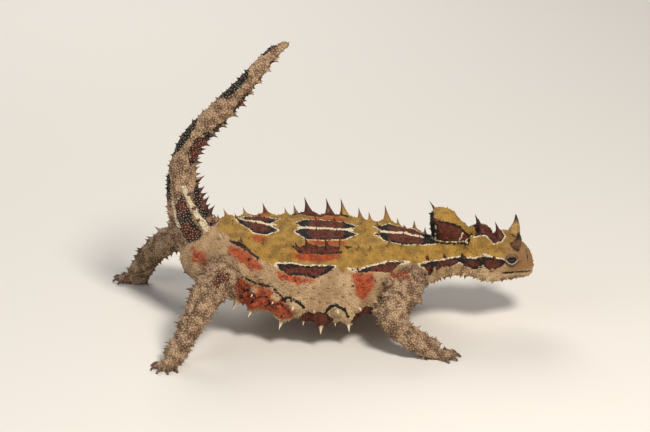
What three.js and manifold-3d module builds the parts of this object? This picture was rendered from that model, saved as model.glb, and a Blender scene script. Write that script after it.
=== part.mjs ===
// A thorny devil (Moloch horridus) at life size, walking with its tail raised over its back.
// Units are millimetres. +X is towards the head, +Y the animal's left, +Z up, and the floor is z = 0.
// The trunk (rump to snout), the tail and each leg are lofts through short tables of stations.
// Thorns are set on those surfaces in rows and fused, then the whole is parted with thin cuts.
import * as THREE from "three";
import { mergeVertices } from "three/addons/utils/BufferGeometryUtils.js";
import Module from "manifold-3d";

const wasm = await Module();
wasm.setup();

// Driving dimensions
const GAP = 0.3; // left between nodes that meet
const TRUNK_SIDES = 20;
const TORSO_STEP = 3.7; // spacing of the trunk's rings along the torso
const HEAD_STEP = 1.8; // and along the head, where the forms are small
const END_STEP = 0.9; // and where the rump and the snout close
const SECTION_POWER = 2.25; // superellipse exponent of the trunk's sections
const NECK_CUT_X = 27;
const HEAD_CUT_X = 42;
const LEAST_THORN = 1.05; // a shorter thorn is left to the finish
const SPINE_SINK = 1.1; // how deep a thorn's root is sunk in the flesh
const PALM_HEIGHT = 2.2;
const MIDDLE = [-1.86, -2.74]; // x and y of the footprint's middle, which becomes the part's origin

// Trunk stations: x, half width, top, bottom, height of the widest line
const TRUNK = [
  [-41.5, 2.6, 24.4, 17.6, 21.0],
  [-40.2, 5.6, 26.2, 15.4, 20.6],
  [-37.5, 9.0, 27.8, 13.2, 20.0],
  [-32.0, 12.6, 29.0, 10.8, 19.0],
  [-24.0, 16.8, 29.6, 8.6, 17.5],
  [-14.0, 21.2, 29.0, 6.9, 15.6],
  [-3.0, 23.2, 28.2, 6.0, 14.2],
  [8.0, 21.6, 27.4, 6.4, 14.0],
  [17.0, 17.4, 26.8, 7.8, 15.2],
  [24.0, 13.0, 26.0, 9.6, 16.8],
  [30.0, 9.4, 24.9, 12.4, 17.9],
  [36.0, 7.4, 24.2, 14.4, 18.8],
  [41.0, 7.2, 24.2, 14.4, 18.8],
  [46.0, 7.9, 24.5, 13.6, 18.4],
  [51.0, 7.4, 24.6, 13.3, 18.5],
  [54.5, 6.3, 24.2, 13.6, 18.4],
  [57.0, 5.3, 23.2, 14.0, 18.0],
  [58.6, 4.1, 21.6, 14.2, 17.4],
  [59.6, 2.3, 19.4, 15.0, 17.0],
];

// Swellings of the trunk: centre x, y, z, radius, height. Each is mirrored to the other side.
const SWELLINGS = [
  [52.6, 4.8, 23.8, 2.8, 1.2], // brow over the eye
  [44.6, 5.0, 24.0, 2.8, 2.1], // temple
  [47.5, 7.2, 15.9, 3.2, 0.9], // jaw muscle
  [56.8, 3.6, 16.2, 2.4, 0.5], // lip
  [23.0, 11.5, 17.5, 6.0, 1.2], // shoulder
  [-28.0, 12.5, 19.0, 7.0, 1.4], // hip
];

// Tail stations: x, z, radius, from the root inside the rump to the tip
const TAIL = [
  [-32.5, 20.5, 6.0],
  [-36.4, 25.6, 6.0],
  [-39.2, 31.6, 5.4],
  [-40.7, 38.0, 4.5],
  [-41.1, 44.0, 3.6],
  [-40.3, 49.4, 3.1],
  [-38.0, 54.6, 3.0],
  [-34.6, 58.8, 3.0],
  [-30.9, 62.4, 2.9],
  [-27.2, 66.4, 2.65],
  [-23.6, 70.4, 2.4],
  [-20.0, 74.6, 2.15],
  [-17.0, 78.4, 1.85],
  [-13.8, 81.6, 1.5],
  [-10.6, 83.6, 0.95],
];
const TAIL_CUTS = [
  { at: [-41.1, 44.0], along: [0.04, 0.999] },
  { at: [-29.3, 64.1], along: [0.68, 0.733] },
];

// Leg stations: x, y, z, radius, from the root inside the trunk to the ball of the foot.
// heading is the way the foot points on the floor, in degrees from +X towards +Y.
const LEGS = {
  front_right: {
    names: ["upper_arm_right", "forearm_right", "hand_right"],
    path: [
      [23.5, -8.0, 15.8, 5.2],
      [22.6, -15.0, 15.6, 4.9],
      [20.4, -21.4, 14.2, 4.2],
      [18.6, -25.2, 11.4, 3.6],
      [21.4, -27.2, 7.9, 3.1],
      [26.2, -28.2, 4.6, 2.8],
      [29.4, -28.4, PALM_HEIGHT + 0.3, 2.6],
      [31.6, -28.4, PALM_HEIGHT - 0.2, 2.4],
    ],
    joints: [0.44, 0.76],
    heading: 2,
  },
  front_left: {
    names: ["upper_arm_left", "forearm_left", "hand_left"],
    path: [
      [23.5, 8.0, 15.8, 5.2],
      [21.4, 15.0, 15.6, 4.9],
      [16.4, 21.6, 14.4, 4.1],
      [12.4, 25.2, 11.8, 3.5],
      [13.2, 27.4, 8.0, 3.1],
      [16.0, 28.6, 4.8, 2.8],
      [18.8, 29.4, PALM_HEIGHT + 0.3, 2.6],
      [21.0, 30.0, PALM_HEIGHT - 0.2, 2.4],
    ],
    joints: [0.47, 0.77],
    heading: 14,
  },
  hind_right: {
    names: ["thigh_right", "shin_right", "foot_right"],
    path: [
      [-27.5, -8.0, 18.0, 5.8],
      [-29.4, -14.6, 18.6, 5.4],
      [-31.6, -21.0, 18.4, 4.6],
      [-33.8, -26.2, 16.4, 3.8],
      [-36.6, -29.0, 11.6, 3.2],
      [-39.4, -30.8, 6.8, 2.9],
      [-41.8, -32.4, PALM_HEIGHT + 0.5, 2.7],
      [-43.2, -34.4, PALM_HEIGHT - 0.2, 2.5],
    ],
    joints: [0.42, 0.74],
    heading: -122,
  },
  hind_left: {
    names: ["thigh_left", "shin_left", "foot_left"],
    path: [
      [-27.5, 8.0, 18.4, 5.8],
      [-32.0, 14.6, 19.0, 5.4],
      [-37.4, 19.4, 18.6, 4.6],
      [-42.8, 22.2, 17.2, 3.9],
      [-48.0, 24.2, 13.4, 3.4],
      [-52.4, 26.0, 8.4, 3.1],
      [-55.4, 27.2, PALM_HEIGHT + 0.5, 2.8],
      [-57.0, 28.2, PALM_HEIGHT - 0.3, 2.5],
    ],
    joints: [0.44, 0.74],
    heading: 155,
  },
};
const LEG_SIDES = 8;
const LEG_STEPS = 15;
const TAIL_SIDES = 8;
const TAIL_STEPS = 18;

// Toes: angle from the foot's heading in degrees, and length from the ball of the foot
const TOES = [
  [-56, 3.6],
  [-28, 4.4],
  [0, 4.8],
  [28, 4.4],
  [56, 3.6],
];
const TOE_RADIUS = 1.05;
const CLAW_LENGTH = 1.8;
const CLAW_RADIUS = 0.5;

const EYE_RADIUS = 1.85;
const EYE_AT = [53.1, 5.55, 20.9];
const LID_RADIUS = 2.25; // of the lid's rim round the eye
const LID_THICKNESS = 0.55;
const KNOB = { at: [34.7, 0, 28.0], radii: [4.2, 4.6, 5.6] };
const KNOB_FRONT = { at: [37.8, 0, 26.2], radii: [3.4, 4.2, 4.1] };
const HORN_SECTIONS = [
  [0.0, 1.5],
  [0.2, 1.85],
  [0.45, 1.3],
  [0.75, 0.62],
  [1.0, 0.12],
];
const HORN = { from: [53.9, 3.9, 24.1], to: [55.0, 7.2, 29.6], bow: [0.6, 0.3, -0.1] };

let seed = 7;
// A small linear congruential generator, so that each run gives the same thorns.
function random() {
  seed = (seed * 1103515245 + 12345) % 2147483648;
  return seed / 2147483648;
}

function vary(share) {
  return 1 + share * (2 * random() - 1);
}

function vec(p) {
  return new THREE.Vector3(p[0], p[1], p[2]);
}

// Catmull-Rom value of one column of a table at a fractional row.
function columnAt(table, column, row) {
  const last = table.length - 1;
  const i = Math.min(Math.max(Math.floor(row), 0), last - 1);
  const f = row - i;
  const pick = (n) => table[Math.min(Math.max(n, 0), last)][column];
  const [a, b, c, d] = [pick(i - 1), pick(i), pick(i + 1), pick(i + 2)];
  const cubic = -a + 3 * b - 3 * c + d;
  const square = 2 * a - 5 * b + 4 * c - d;
  return 0.5 * (2 * b + (c - a) * f + square * f * f + cubic * f * f * f);
}

// The fractional row of a table whose first column grows, at a given x.
function rowAt(table, x) {
  const last = table.length - 1;
  let i = 0;
  while (i < last - 1 && table[i + 1][0] < x) i += 1;
  return i + (x - table[i][0]) / (table[i + 1][0] - table[i][0]);
}

// A closed manifold solid from rings of points, each ring with the same count.
function solidOfRings(rings) {
  const sides = rings[0].length;
  const points = rings.flat();
  const centre = (ring) => ring.reduce((s, p) => s.add(p), new THREE.Vector3()).divideScalar(sides);
  const start = points.push(centre(rings[0])) - 1;
  const end = points.push(centre(rings[rings.length - 1])) - 1;
  const faces = [];
  for (let i = 0; i < sides; i += 1) {
    const next = (i + 1) % sides;
    for (let r = 0; r < rings.length - 1; r += 1) {
      const [a, b, c, d] = [r * sides + i, r * sides + next, (r + 1) * sides + i, (r + 1) * sides + next];
      faces.push(a, c, b, b, c, d);
    }
    const top = (rings.length - 1) * sides;
    faces.push(start, i, next, end, top + next, top + i);
  }
  return solidOfFaces(points, faces);
}

function solidOfFaces(points, faces) {
  const geometry = new THREE.BufferGeometry();
  const position = new THREE.Float32BufferAttribute(points.flatMap((p) => [p.x, p.y, p.z]), 3);
  geometry.setAttribute("position", position);
  geometry.setIndex(faces);
  return solidOfGeometry(geometry);
}

function solidOfGeometry(geometry) {
  const bare = geometry.clone();
  bare.deleteAttribute("normal");
  bare.deleteAttribute("uv");
  const merged = mergeVertices(bare, 1e-4);
  const build = (triVerts) =>
    new wasm.Manifold(
      new wasm.Mesh({ numProp: 3, vertProperties: merged.attributes.position.array, triVerts }),
    );
  const made = build(new Uint32Array(merged.index.array));
  return made.volume() > 0 ? made : build(new Uint32Array(merged.index.array).reverse());
}

// The trunk

function trunkStation(x) {
  const row = rowAt(TRUNK, x);
  const [half, top, bottom, wide] = [1, 2, 3, 4].map((c) => columnAt(TRUNK, c, row));
  return { half, top, bottom, wide };
}

// A point of the trunk's skin: angle 0 is the left side, 90 the back, 180 the right side.
function trunkPoint(x, degrees) {
  const { half, top, bottom, wide } = trunkStation(x);
  const angle = THREE.MathUtils.degToRad(degrees);
  const [c, s] = [Math.cos(angle), Math.sin(angle)];
  const bend = (v) => Math.sign(v) * Math.abs(v) ** (2 / SECTION_POWER);
  const reach = s > 0 ? top - wide : wide - bottom;
  const point = new THREE.Vector3(x, half * bend(c), wide + reach * bend(s));
  const middle = new THREE.Vector3(x, 0, wide);
  const out = point.clone().sub(middle).normalize();
  for (const [sx, sy, sz, radius, height] of SWELLINGS) {
    for (const side of [1, -1]) {
      const away = point.distanceTo(new THREE.Vector3(sx, side * sy, sz)) / radius;
      point.addScaledVector(out, height * Math.exp(-away * away * 1.6));
    }
  }
  return point;
}

function trunkNormal(x, degrees) {
  const along = trunkPoint(x + 0.4, degrees).sub(trunkPoint(x - 0.4, degrees));
  const around = trunkPoint(x, degrees + 3).sub(trunkPoint(x, degrees - 3));
  return around.cross(along).normalize();
}

function trunkSolid() {
  const [first, last] = [TRUNK[0][0], TRUNK[TRUNK.length - 1][0]];
  const places = [];
  for (let x = first; x < last - 0.4; ) {
    places.push(x);
    const atEnd = x < first + 3 || x > last - 3;
    const step = x > HEAD_CUT_X ? HEAD_STEP : TORSO_STEP;
    x += atEnd ? END_STEP : step;
  }
  const ringAt = (x) => Array.from({ length: TRUNK_SIDES }, (_, k) => trunkPoint(x, (360 * k) / TRUNK_SIDES));
  return solidOfRings([...places, last].map(ringAt));
}

function insideTrunk(point, margin) {
  if (point.x < TRUNK[0][0] || point.x > TRUNK[TRUNK.length - 1][0]) return false;
  const { half, top, bottom, wide } = trunkStation(point.x);
  const reach = (point.z > wide ? top - wide : wide - bottom) + margin;
  return Math.hypot(point.y / (half + margin), (point.z - wide) / reach) < 1;
}

// A limb is a tube through stations x, y, z, radius.
class Limb {
  constructor(stations) {
    this.stations = stations;
    this.curve = new THREE.CatmullRomCurve3(stations.map(vec), false, "centripetal");
  }

  at(t) {
    const last = this.stations.length - 1;
    const tangent = this.curve.getTangent(t);
    const side = new THREE.Vector3().crossVectors(tangent, new THREE.Vector3(0, 1, 0));
    if (side.length() < 0.3) side.crossVectors(tangent, new THREE.Vector3(0, 0, 1));
    side.normalize();
    const up = new THREE.Vector3().crossVectors(side, tangent).normalize();
    return {
      centre: this.curve.getPoint(t),
      tangent,
      side,
      up,
      radius: Math.max(columnAt(this.stations, 3, t * last), 0.3),
    };
  }

  skin(t, degrees, swell = 0) {
    const f = this.frames(t);
    const angle = THREE.MathUtils.degToRad(degrees);
    const out = f.side.clone().multiplyScalar(Math.cos(angle)).addScaledVector(f.up, Math.sin(angle));
    const point = f.centre.clone().addScaledVector(out, f.radius + swell);
    return { point, normal: out, tangent: f.tangent };
  }

  // Frames carried along the curve without twist, so that the tube's sides don't wring.
  frames(t) {
    if (!this.carried) this.carry();
    const last = this.carried.length - 1;
    const i = Math.min(Math.max(Math.round(t * last), 0), last);
    const exact = this.at(t);
    const side = this.carried[i].side.clone();
    side.addScaledVector(exact.tangent, -side.dot(exact.tangent)).normalize();
    const up = new THREE.Vector3().crossVectors(side, exact.tangent).normalize();
    return { ...exact, side, up };
  }

  carry() {
    const steps = 60;
    const first = this.at(0);
    this.carried = [{ side: first.side }];
    for (let i = 1; i <= steps; i += 1) {
      const { tangent } = this.at(i / steps);
      const side = this.carried[i - 1].side.clone();
      side.addScaledVector(tangent, -side.dot(tangent)).normalize();
      this.carried.push({ side });
    }
  }

  solid(steps, sides, swell = 0) {
    const rings = [];
    for (let i = 0; i <= steps; i += 1) {
      const ring = [];
      for (let k = 0; k < sides; k += 1) ring.push(this.skin(i / steps, (360 * k) / sides, swell).point);
      rings.push(ring);
    }
    return solidOfRings(rings);
  }
}

// Thorns

// A thorn is a cone that flares to its root, with its tip leaning the way it is told.
function thorn(root, direction, length, radius, sides = 4, flare = true) {
  const axis = direction.clone().normalize();
  const across = new THREE.Vector3(0.31, 0.17, 0.93).cross(axis).normalize();
  const other = new THREE.Vector3().crossVectors(axis, across);
  const ringAt = (height, size) => {
    const middle = root.clone().addScaledVector(axis, height);
    const ring = [];
    for (let k = 0; k < sides; k += 1) {
      const a = (2 * Math.PI * k) / sides;
      const out = across.clone().multiplyScalar(Math.cos(a)).addScaledVector(other, Math.sin(a));
      ring.push(middle.clone().addScaledVector(out, size));
    }
    return ring;
  };
  const rings = [ringAt(-SPINE_SINK, radius * 1.15)];
  if (flare) rings.push(ringAt(length * 0.42, radius * 0.5));
  const points = [...rings.flat()];
  const tip = points.push(root.clone().addScaledVector(axis, length)) - 1;
  const faces = [];
  for (let k = 0; k < sides; k += 1) {
    const next = (k + 1) % sides;
    const top = (rings.length - 1) * sides;
    if (flare) faces.push(k, sides + k, next, next, sides + k, sides + next);
    faces.push(top + k, tip, top + next);
    if (k > 1) faces.push(0, k - 1, k);
  }
  return solidOfFaces(points, faces);
}

// Rows of thorns on the trunk, mirrored: the angle from the back's midline, then each thorn's x and length
const THORN_ROWS = [
  {
    angle: 8,
    places: [
      [-30, 2], [-25.5, 2.2], [-19, 2.4], [-12.5, 1.8], [-2.5, 2], [3.2, 2], [11.5, 2.4], [15.5, 1.8],
      [23, 2],
    ],
  },
  {
    angle: 35,
    places: [
      [-28.6, 3], [-23.2, 2.8], [-17, 4], [-10.8, 2.6], [-7.9, 3.4], [-4.4, 5.6], [1.4, 5.6], [5.4, 5.8],
      [10, 3.8], [13, 3], [18.2, 5.4], [21.6, 2.6], [26.2, 3],
    ],
  },
  {
    angle: 55,
    places: [
      [-27, 3.2], [-21.5, 3.4], [-15.5, 3], [-9, 2.8], [-3, 3.2], [3, 2.8], [9.5, 3], [15.5, 3.2],
      [21, 3], [25.6, 2.6],
    ],
  },
  {
    angle: 74,
    places: [
      [-25, 3.6], [-18, 3.4], [-11.5, 3.2], [-5, 3.2], [1.5, 3.4], [8, 3.2], [14.5, 3], [19.5, 2.6],
    ],
  },
  {
    angle: 92,
    places: [
      [-24.5, 4], [-20, 4.4], [-14.5, 4.4], [-8.9, 5.4], [-3, 4.6], [3.5, 5.6], [9.4, 5.6], [14, 4],
    ],
  },
  {
    angle: 116,
    places: [
      [-24, 4.2], [-19.6, 4.6], [-11.6, 5.4], [-6, 3.2], [-1.4, 5.4], [2.6, 3.4], [6.4, 5.4], [14.4, 4.6],
    ],
  },
  { angle: 136, places: [[-18, 2.4], [-11, 2.4], [-4, 2.4], [3, 2.4], [9, 2.2], [14, 2.2]] },
];
const NECK_ROWS = [
  { angle: 58, places: [[29, 3.0], [34.5, 2.6], [40, 2.8]] },
  { angle: 84, places: [[28.6, 2.6], [32.4, 2.6], [36.2, 2.4], [40, 2.6]] },
  { angle: 112, places: [[29, 2.2], [32.7, 2.2], [36.4, 2.0], [40, 2.2]] },
];
const HEAD_ROWS = [
  { angle: 20, places: [[45.6, 5.4], [50.4, 3.6]] },
  { angle: 60, places: [[44.6, 2.2], [48.4, 2.0]] },
  { angle: 88, places: [[44.2, 2.2], [47.6, 1.8]] },
  { angle: 116, places: [[44.4, 2.0], [46.8, 2.0], [49.2, 1.8], [51.5, 1.6]] },
  { angle: 142, places: [[45.4, 1.4], [48, 1.4], [50.5, 1.2], [53, 1.2]] },
];
const LEAN_BACK = -0.22; // how far the tips lie back along the body
const LIFT = 0.12;
const THORN_SPREAD = 0.36; // radius of a thorn's foot for its length

function thornsOnTrunk(rows, keep) {
  const made = [];
  for (const { angle, places } of rows) {
    for (const side of [1, -1]) {
      places.forEach(([x, size], i) => {
        const sway = Math.sin(12.9 * i + 3.7 * angle + side);
        const degrees = 90 - side * (angle + 1.6 * sway);
        const at = x + 0.4 * Math.sin(7.1 * i + angle - 2 * side);
        const root = trunkPoint(at, degrees);
        const direction = trunkNormal(at, degrees);
        direction.x += LEAN_BACK;
        direction.z += LIFT;
        const length = size * (1 + 0.07 * sway);
        const tip = root.clone().addScaledVector(direction.normalize(), length);
        const radius = THORN_SPREAD * length + 0.1;
        const sides = length > 4 ? 5 : 4;
        if (keep(root, tip)) made.push(thorn(root, direction, length, radius, sides, length > 2.5));
      });
    }
  }
  return made;
}

// Thorns round a limb: rings along it, a count round each ring, and the sizes at its two ends.
function thornsOnLimb(limb, spec, keep) {
  const made = [];
  for (let i = 0; i < spec.rings; i += 1) {
    const t = spec.from + ((spec.to - spec.from) * i) / (spec.rings - 1);
    for (let k = 0; k < spec.around; k += 1) {
      const degrees = (360 * (k + 0.5 * (i % 2))) / spec.around + 8 * (2 * random() - 1);
      const { point, normal, tangent } = limb.skin(t, degrees);
      const size = spec.size(t, normal) * vary(0.18);
      if (size < LEAST_THORN) continue;
      const direction = normal.clone().addScaledVector(tangent, spec.lean).normalize();
      const tip = point.clone().addScaledVector(direction, size);
      const radius = spec.radius * size ** 0.55;
      if (keep(point, tip)) made.push(thorn(point, direction, size, radius, 4, size > 1.9));
    }
  }
  return made;
}

// Joins and cuts

function join(solids) {
  return wasm.Manifold.union(solids);
}

// Keeps only the largest closed surface, which drops scraps and fills sealed hollows.
function largest(solid) {
  return solid.decompose().reduce((a, b) => (b.volume() > a.volume() ? b : a));
}

function keepFrom(solid, point, normal) {
  const n = normal.clone().normalize();
  return solid.trimByPlane([n.x, n.y, n.z], n.dot(point) + GAP / 2);
}

function keepUpTo(solid, point, normal) {
  return keepFrom(solid, point, normal.clone().negate());
}

function ball(centre, radii, width = 12, height = 8) {
  const geometry = new THREE.SphereGeometry(1, width, height);
  geometry.scale(radii[0], radii[1], radii[2]);
  geometry.translate(centre[0], centre[1], centre[2]);
  return solidOfGeometry(geometry);
}

// Legs with toes, claws and thorns, parted at the two joints

function nearestOnLimbs(limbs, point) {
  let least = Infinity;
  for (const limb of limbs) {
    for (let i = 0; i <= 24; i += 1) {
      const { centre, radius } = limb.at(i / 24);
      least = Math.min(least, centre.distanceTo(point) - radius);
    }
  }
  return least;
}

const tail = new Limb(TAIL.map(([x, z, r]) => [x, 0, z, r]));
const legs = Object.fromEntries(Object.entries(LEGS).map(([key, leg]) => [key, new Limb(leg.path)]));
const allLimbs = [tail, ...Object.values(legs)];

function toeSolids(leg, limb) {
  const made = [];
  const ballOfFoot = limb.at(1).centre;
  for (const [turn, length] of TOES) {
    const heading = THREE.MathUtils.degToRad(leg.heading + turn);
    const out = new THREE.Vector3(Math.cos(heading), Math.sin(heading), 0);
    const point = (reach, z) => ballOfFoot.clone().addScaledVector(out, reach).setZ(z);
    const toe = new Limb(
      [
        [point(-0.9, 1.5), TOE_RADIUS * 1.1],
        [point(length * 0.62, 0.85), TOE_RADIUS],
        [point(length * 0.95, 0.65), TOE_RADIUS * 0.75],
        [point(length + CLAW_LENGTH * 0.35, 0.9), CLAW_RADIUS],
        [point(length + CLAW_LENGTH, 0.3), 0.14],
      ].map(([p, r]) => [p.x, p.y, p.z, r]),
    );
    made.push(toe.solid(4, 5));
  }
  return made;
}

const FLOOR = new THREE.Vector3(0, 0, -GAP / 2);
const UP = new THREE.Vector3(0, 0, 1);
const CLEAR = 0.7; // between a thorn's tip and any flesh that it doesn't grow from

function legSolids(key) {
  const leg = LEGS[key];
  const limb = legs[key];
  const others = allLimbs.filter((other) => other !== limb);
  const keep = (root, tip) =>
    !insideTrunk(tip, 1.5) &&
    !insideTrunk(root, 1.7) &&
    tip.z > 0.8 &&
    nearestOnLimbs(others, tip) > CLEAR;
  const size = (t, normal) => (2.3 - 1.2 * t) * (normal.z < -0.4 ? 0.55 : 1);
  const spec = { rings: 8, from: 0.2, to: 0.88, around: 5, lean: 0.45, radius: 0.62, size };
  const pieces = [limb.solid(LEG_STEPS, LEG_SIDES), ...thornsOnLimb(limb, spec, keep)];
  const whole = join([...pieces, ...toeSolids(leg, limb)]);
  const standing = keepFrom(whole, FLOOR, UP);
  const [first, second] = leg.joints.map((t) => limb.at(t));
  return {
    [leg.names[0]]: keepUpTo(standing, first.centre, first.tangent),
    [leg.names[1]]: keepUpTo(
      keepFrom(standing, first.centre, first.tangent),
      second.centre,
      second.tangent,
    ),
    [leg.names[2]]: keepFrom(standing, second.centre, second.tangent),
  };
}

// The tail's thorns are longest on its upper side, which faces the head.
function tailSolids() {
  const size = (t, normal) => {
    const back = Math.max(0, normal.x * 0.8 - normal.z * 0.35);
    const side = Math.abs(normal.y);
    return (1.1 + 2.4 * back + 1.1 * side) * (1 - 0.55 * t);
  };
  const spec = { rings: 14, from: 0.13, to: 0.96, around: 6, lean: 0.35, radius: 0.66, size };
  const keep = (root, tip) => !insideTrunk(tip, 1.4) && !insideTrunk(root, 0.8);
  const whole = join([tail.solid(TAIL_STEPS, TAIL_SIDES), ...thornsOnLimb(tail, spec, keep)]);
  const [low, high] = TAIL_CUTS.map(({ at, along }) => ({
    point: new THREE.Vector3(at[0], 0, at[1]),
    normal: new THREE.Vector3(along[0], 0, along[1]),
  }));
  return {
    tail_base: keepUpTo(whole, low.point, low.normal),
    tail_middle: keepUpTo(keepFrom(whole, low.point, low.normal), high.point, high.normal),
    tail_tip: keepFrom(whole, high.point, high.normal),
  };
}

// The head's eyes, lids, horns, mouth, nostrils and ears

function mirrored(point, side) {
  return [point[0], side * point[1], point[2]];
}

function lid(side) {
  const geometry = new THREE.TorusGeometry(LID_RADIUS, LID_THICKNESS, 4, 11);
  const outward = new THREE.Vector3(0.12, side, 0.16).normalize();
  const turn = new THREE.Quaternion().setFromUnitVectors(new THREE.Vector3(0, 0, 1), outward);
  geometry.scale(1.1, 0.82, 1);
  geometry.applyQuaternion(turn);
  const at = vec(mirrored(EYE_AT, side)).addScaledVector(outward, 0.75);
  geometry.translate(at.x, at.y, at.z);
  return solidOfGeometry(geometry);
}

function horn(side, swell) {
  const from = vec(mirrored(HORN.from, side));
  const to = vec(mirrored(HORN.to, side));
  const bow = vec(mirrored(HORN.bow, side));
  const stations = HORN_SECTIONS.map(([share, radius]) => {
    const p = from.clone().lerp(to, share).addScaledVector(bow, 4 * share * (1 - share));
    return [p.x, p.y, p.z, radius];
  });
  return new Limb(stations).solid(5, 7, swell);
}

// A thin sheet that follows the lips, cut a little way in from the skin.
function mouthSheet() {
  const [corner, tip, height, depth, thick] = [50.5, 59.5, 16.3, 1.1, 0.42];
  const shape = new THREE.Shape();
  const halfAt = (x) => {
    const edge = trunkPoint(x, -18);
    return Math.max(edge.y - depth, 0.1);
  };
  shape.moveTo(corner, halfAt(corner));
  shape.lineTo(corner, 14);
  shape.lineTo(tip + 4, 14);
  shape.lineTo(tip + 4, -14);
  shape.lineTo(corner, -14);
  shape.lineTo(corner, -halfAt(corner));
  const steps = 7;
  for (let i = 1; i < steps; i += 1) {
    const x = corner + ((tip - depth - corner) * i) / steps;
    shape.lineTo(x, -halfAt(x));
  }
  for (let i = steps - 1; i > 0; i -= 1) {
    const x = corner + ((tip - depth - corner) * i) / steps;
    shape.lineTo(x, halfAt(x));
  }
  const geometry = new THREE.ExtrudeGeometry(shape, { depth: thick, bevelEnabled: false });
  geometry.translate(-tip, 0, 0);
  geometry.rotateY(0.1);
  geometry.translate(tip, 0, height);
  return solidOfGeometry(geometry);
}

function headSolid(head) {
  let made = join([head, lid(1), lid(-1)]);
  const cuts = [mouthSheet()];
  for (const side of [1, -1]) {
    const socket = EYE_RADIUS + GAP;
    cuts.push(ball(mirrored(EYE_AT, side), [socket, socket, socket]));
    cuts.push(horn(side, GAP));
    cuts.push(ball([57.9, side * 2.3, 21.9], [0.9, 0.6, 0.8], 8, 6));
    cuts.push(ball([47.4, side * 8.4, 18.0], [1.0, 1.0, 1.6], 10, 8));
  }
  made = made.subtract(join(cuts));
  return made;
}

function knobSolid(swell) {
  const { at, radii } = KNOB;
  const swollen = (r) => r + swell;
  const back = ball(at, radii.map(swollen), 12, 8);
  const core = join([back, ball(KNOB_FRONT.at, KNOB_FRONT.radii.map(swollen), 12, 8)]);
  if (swell) return core;
  const pieces = [core];
  for (const side of [1, -1]) {
    const out = new THREE.Vector3(-0.42, side * 0.72, 0.55).normalize();
    pieces.push(thorn(vec(at).addScaledVector(out, 4.1), out, 5.6, 1.9, 6));
    for (const [dx, dy, dz, length] of [
      [0.5, 0.75, 0.45, 1.5],
      [0.05, 0.45, 0.9, 1.3],
      [-0.75, 0.3, 0.55, 1.6],
      [0.1, 0.98, 0.15, 1.4],
      [-0.6, 0.8, -0.05, 1.2],
    ]) {
      const small = new THREE.Vector3(dx, side * dy, dz).normalize();
      const root = vec(at).add(small.clone().multiply(vec(radii)).multiplyScalar(0.97));
      pieces.push(thorn(root, small, length, 0.75, 4, false));
    }
  }
  return join(pieces);
}

// Assembly

const nodes = {};
for (const key of Object.keys(LEGS)) Object.assign(nodes, legSolids(key));
Object.assign(nodes, tailSolids());

const onTrunk = (root, tip) =>
  nearestOnLimbs(allLimbs, tip) > CLEAR && nearestOnLimbs(allLimbs, root) > 0.9 && tip.z > 1;
const offKnob = (root, tip) => onTrunk(root, tip) && tip.distanceTo(vec(KNOB.at)) > 7;
const offFace = (root, tip) => tip.distanceTo(vec(mirrored(EYE_AT, Math.sign(tip.y)))) > 3.4;
const trunk = join([
  trunkSolid(),
  ...thornsOnTrunk(THORN_ROWS, onTrunk),
  ...thornsOnTrunk(NECK_ROWS, offKnob),
  ...thornsOnTrunk(HEAD_ROWS, offFace),
]);
const forward = new THREE.Vector3(1, 0, 0);
const neckCut = new THREE.Vector3(NECK_CUT_X, 0, 0);
const headCut = new THREE.Vector3(HEAD_CUT_X, 0, 0);
const sockets = join([
  ...Object.values(legs).map((limb) => limb.solid(LEG_STEPS, LEG_SIDES, GAP)),
  tail.solid(TAIL_STEPS, TAIL_SIDES, GAP),
]);
const knobSocket = knobSolid(GAP);
nodes.torso = keepUpTo(trunk, neckCut, forward).subtract(sockets);
nodes.neck = keepUpTo(keepFrom(trunk, neckCut, forward), headCut, forward).subtract(
  join([knobSocket, sockets]),
);
nodes.head = headSolid(keepFrom(trunk, headCut, forward));
nodes.neck_knob = knobSolid(0);
for (const [name, side] of [["left", 1], ["right", -1]]) {
  nodes["horn_" + name] = horn(side, 0);
  nodes["eye_" + name] = ball(mirrored(EYE_AT, side), [EYE_RADIUS, EYE_RADIUS, EYE_RADIUS]);
}

// Materials

const COLOURS = {
  torso: 0xb89a5a,
  neck: 0xb89a5a,
  head: 0xb5a06c,
  neck_knob: 0x8a5a38,
  tail: 0xb9a88e,
  horn: 0x8c7648,
  eye: 0x1a120d,
  limb: 0xb3a285,
};

function material(name) {
  const slot = Object.keys(COLOURS).find((key) => name.startsWith(key)) ?? "limb";
  const isEye = slot === "eye";
  return new THREE.MeshStandardMaterial({
    color: COLOURS[slot],
    roughness: isEye ? 0.15 : 0.85,
    metalness: 0,
  });
}

function meshOf(name, solid) {
  const { numProp, vertProperties, triVerts } = largest(solid).getMesh();
  const position = new Float32Array((vertProperties.length / numProp) * 3);
  for (let i = 0; i < position.length / 3; i += 1) {
    position.set(vertProperties.subarray(i * numProp, i * numProp + 3), i * 3);
  }
  const geometry = new THREE.BufferGeometry();
  geometry.setAttribute("position", new THREE.BufferAttribute(position, 3));
  geometry.setIndex(new THREE.BufferAttribute(triVerts, 1));
  geometry.computeVertexNormals();
  const mesh = new THREE.Mesh(geometry, material(name));
  mesh.name = name;
  return mesh;
}

const animal = new THREE.Group();
animal.position.set(-MIDDLE[0], -MIDDLE[1], 0);
for (const [name, solid] of Object.entries(nodes)) animal.add(meshOf(name, solid));

export default animal;
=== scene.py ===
"""The looks of a life-size thorny devil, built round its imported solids.

Lengths are millimetres until a mesh is made, in the frame of the stations: +X is towards the head,
+Y the animal's left, +Z up, the floor at z = 0. The camera is on the animal's right, -Y.
"""

import math

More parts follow.
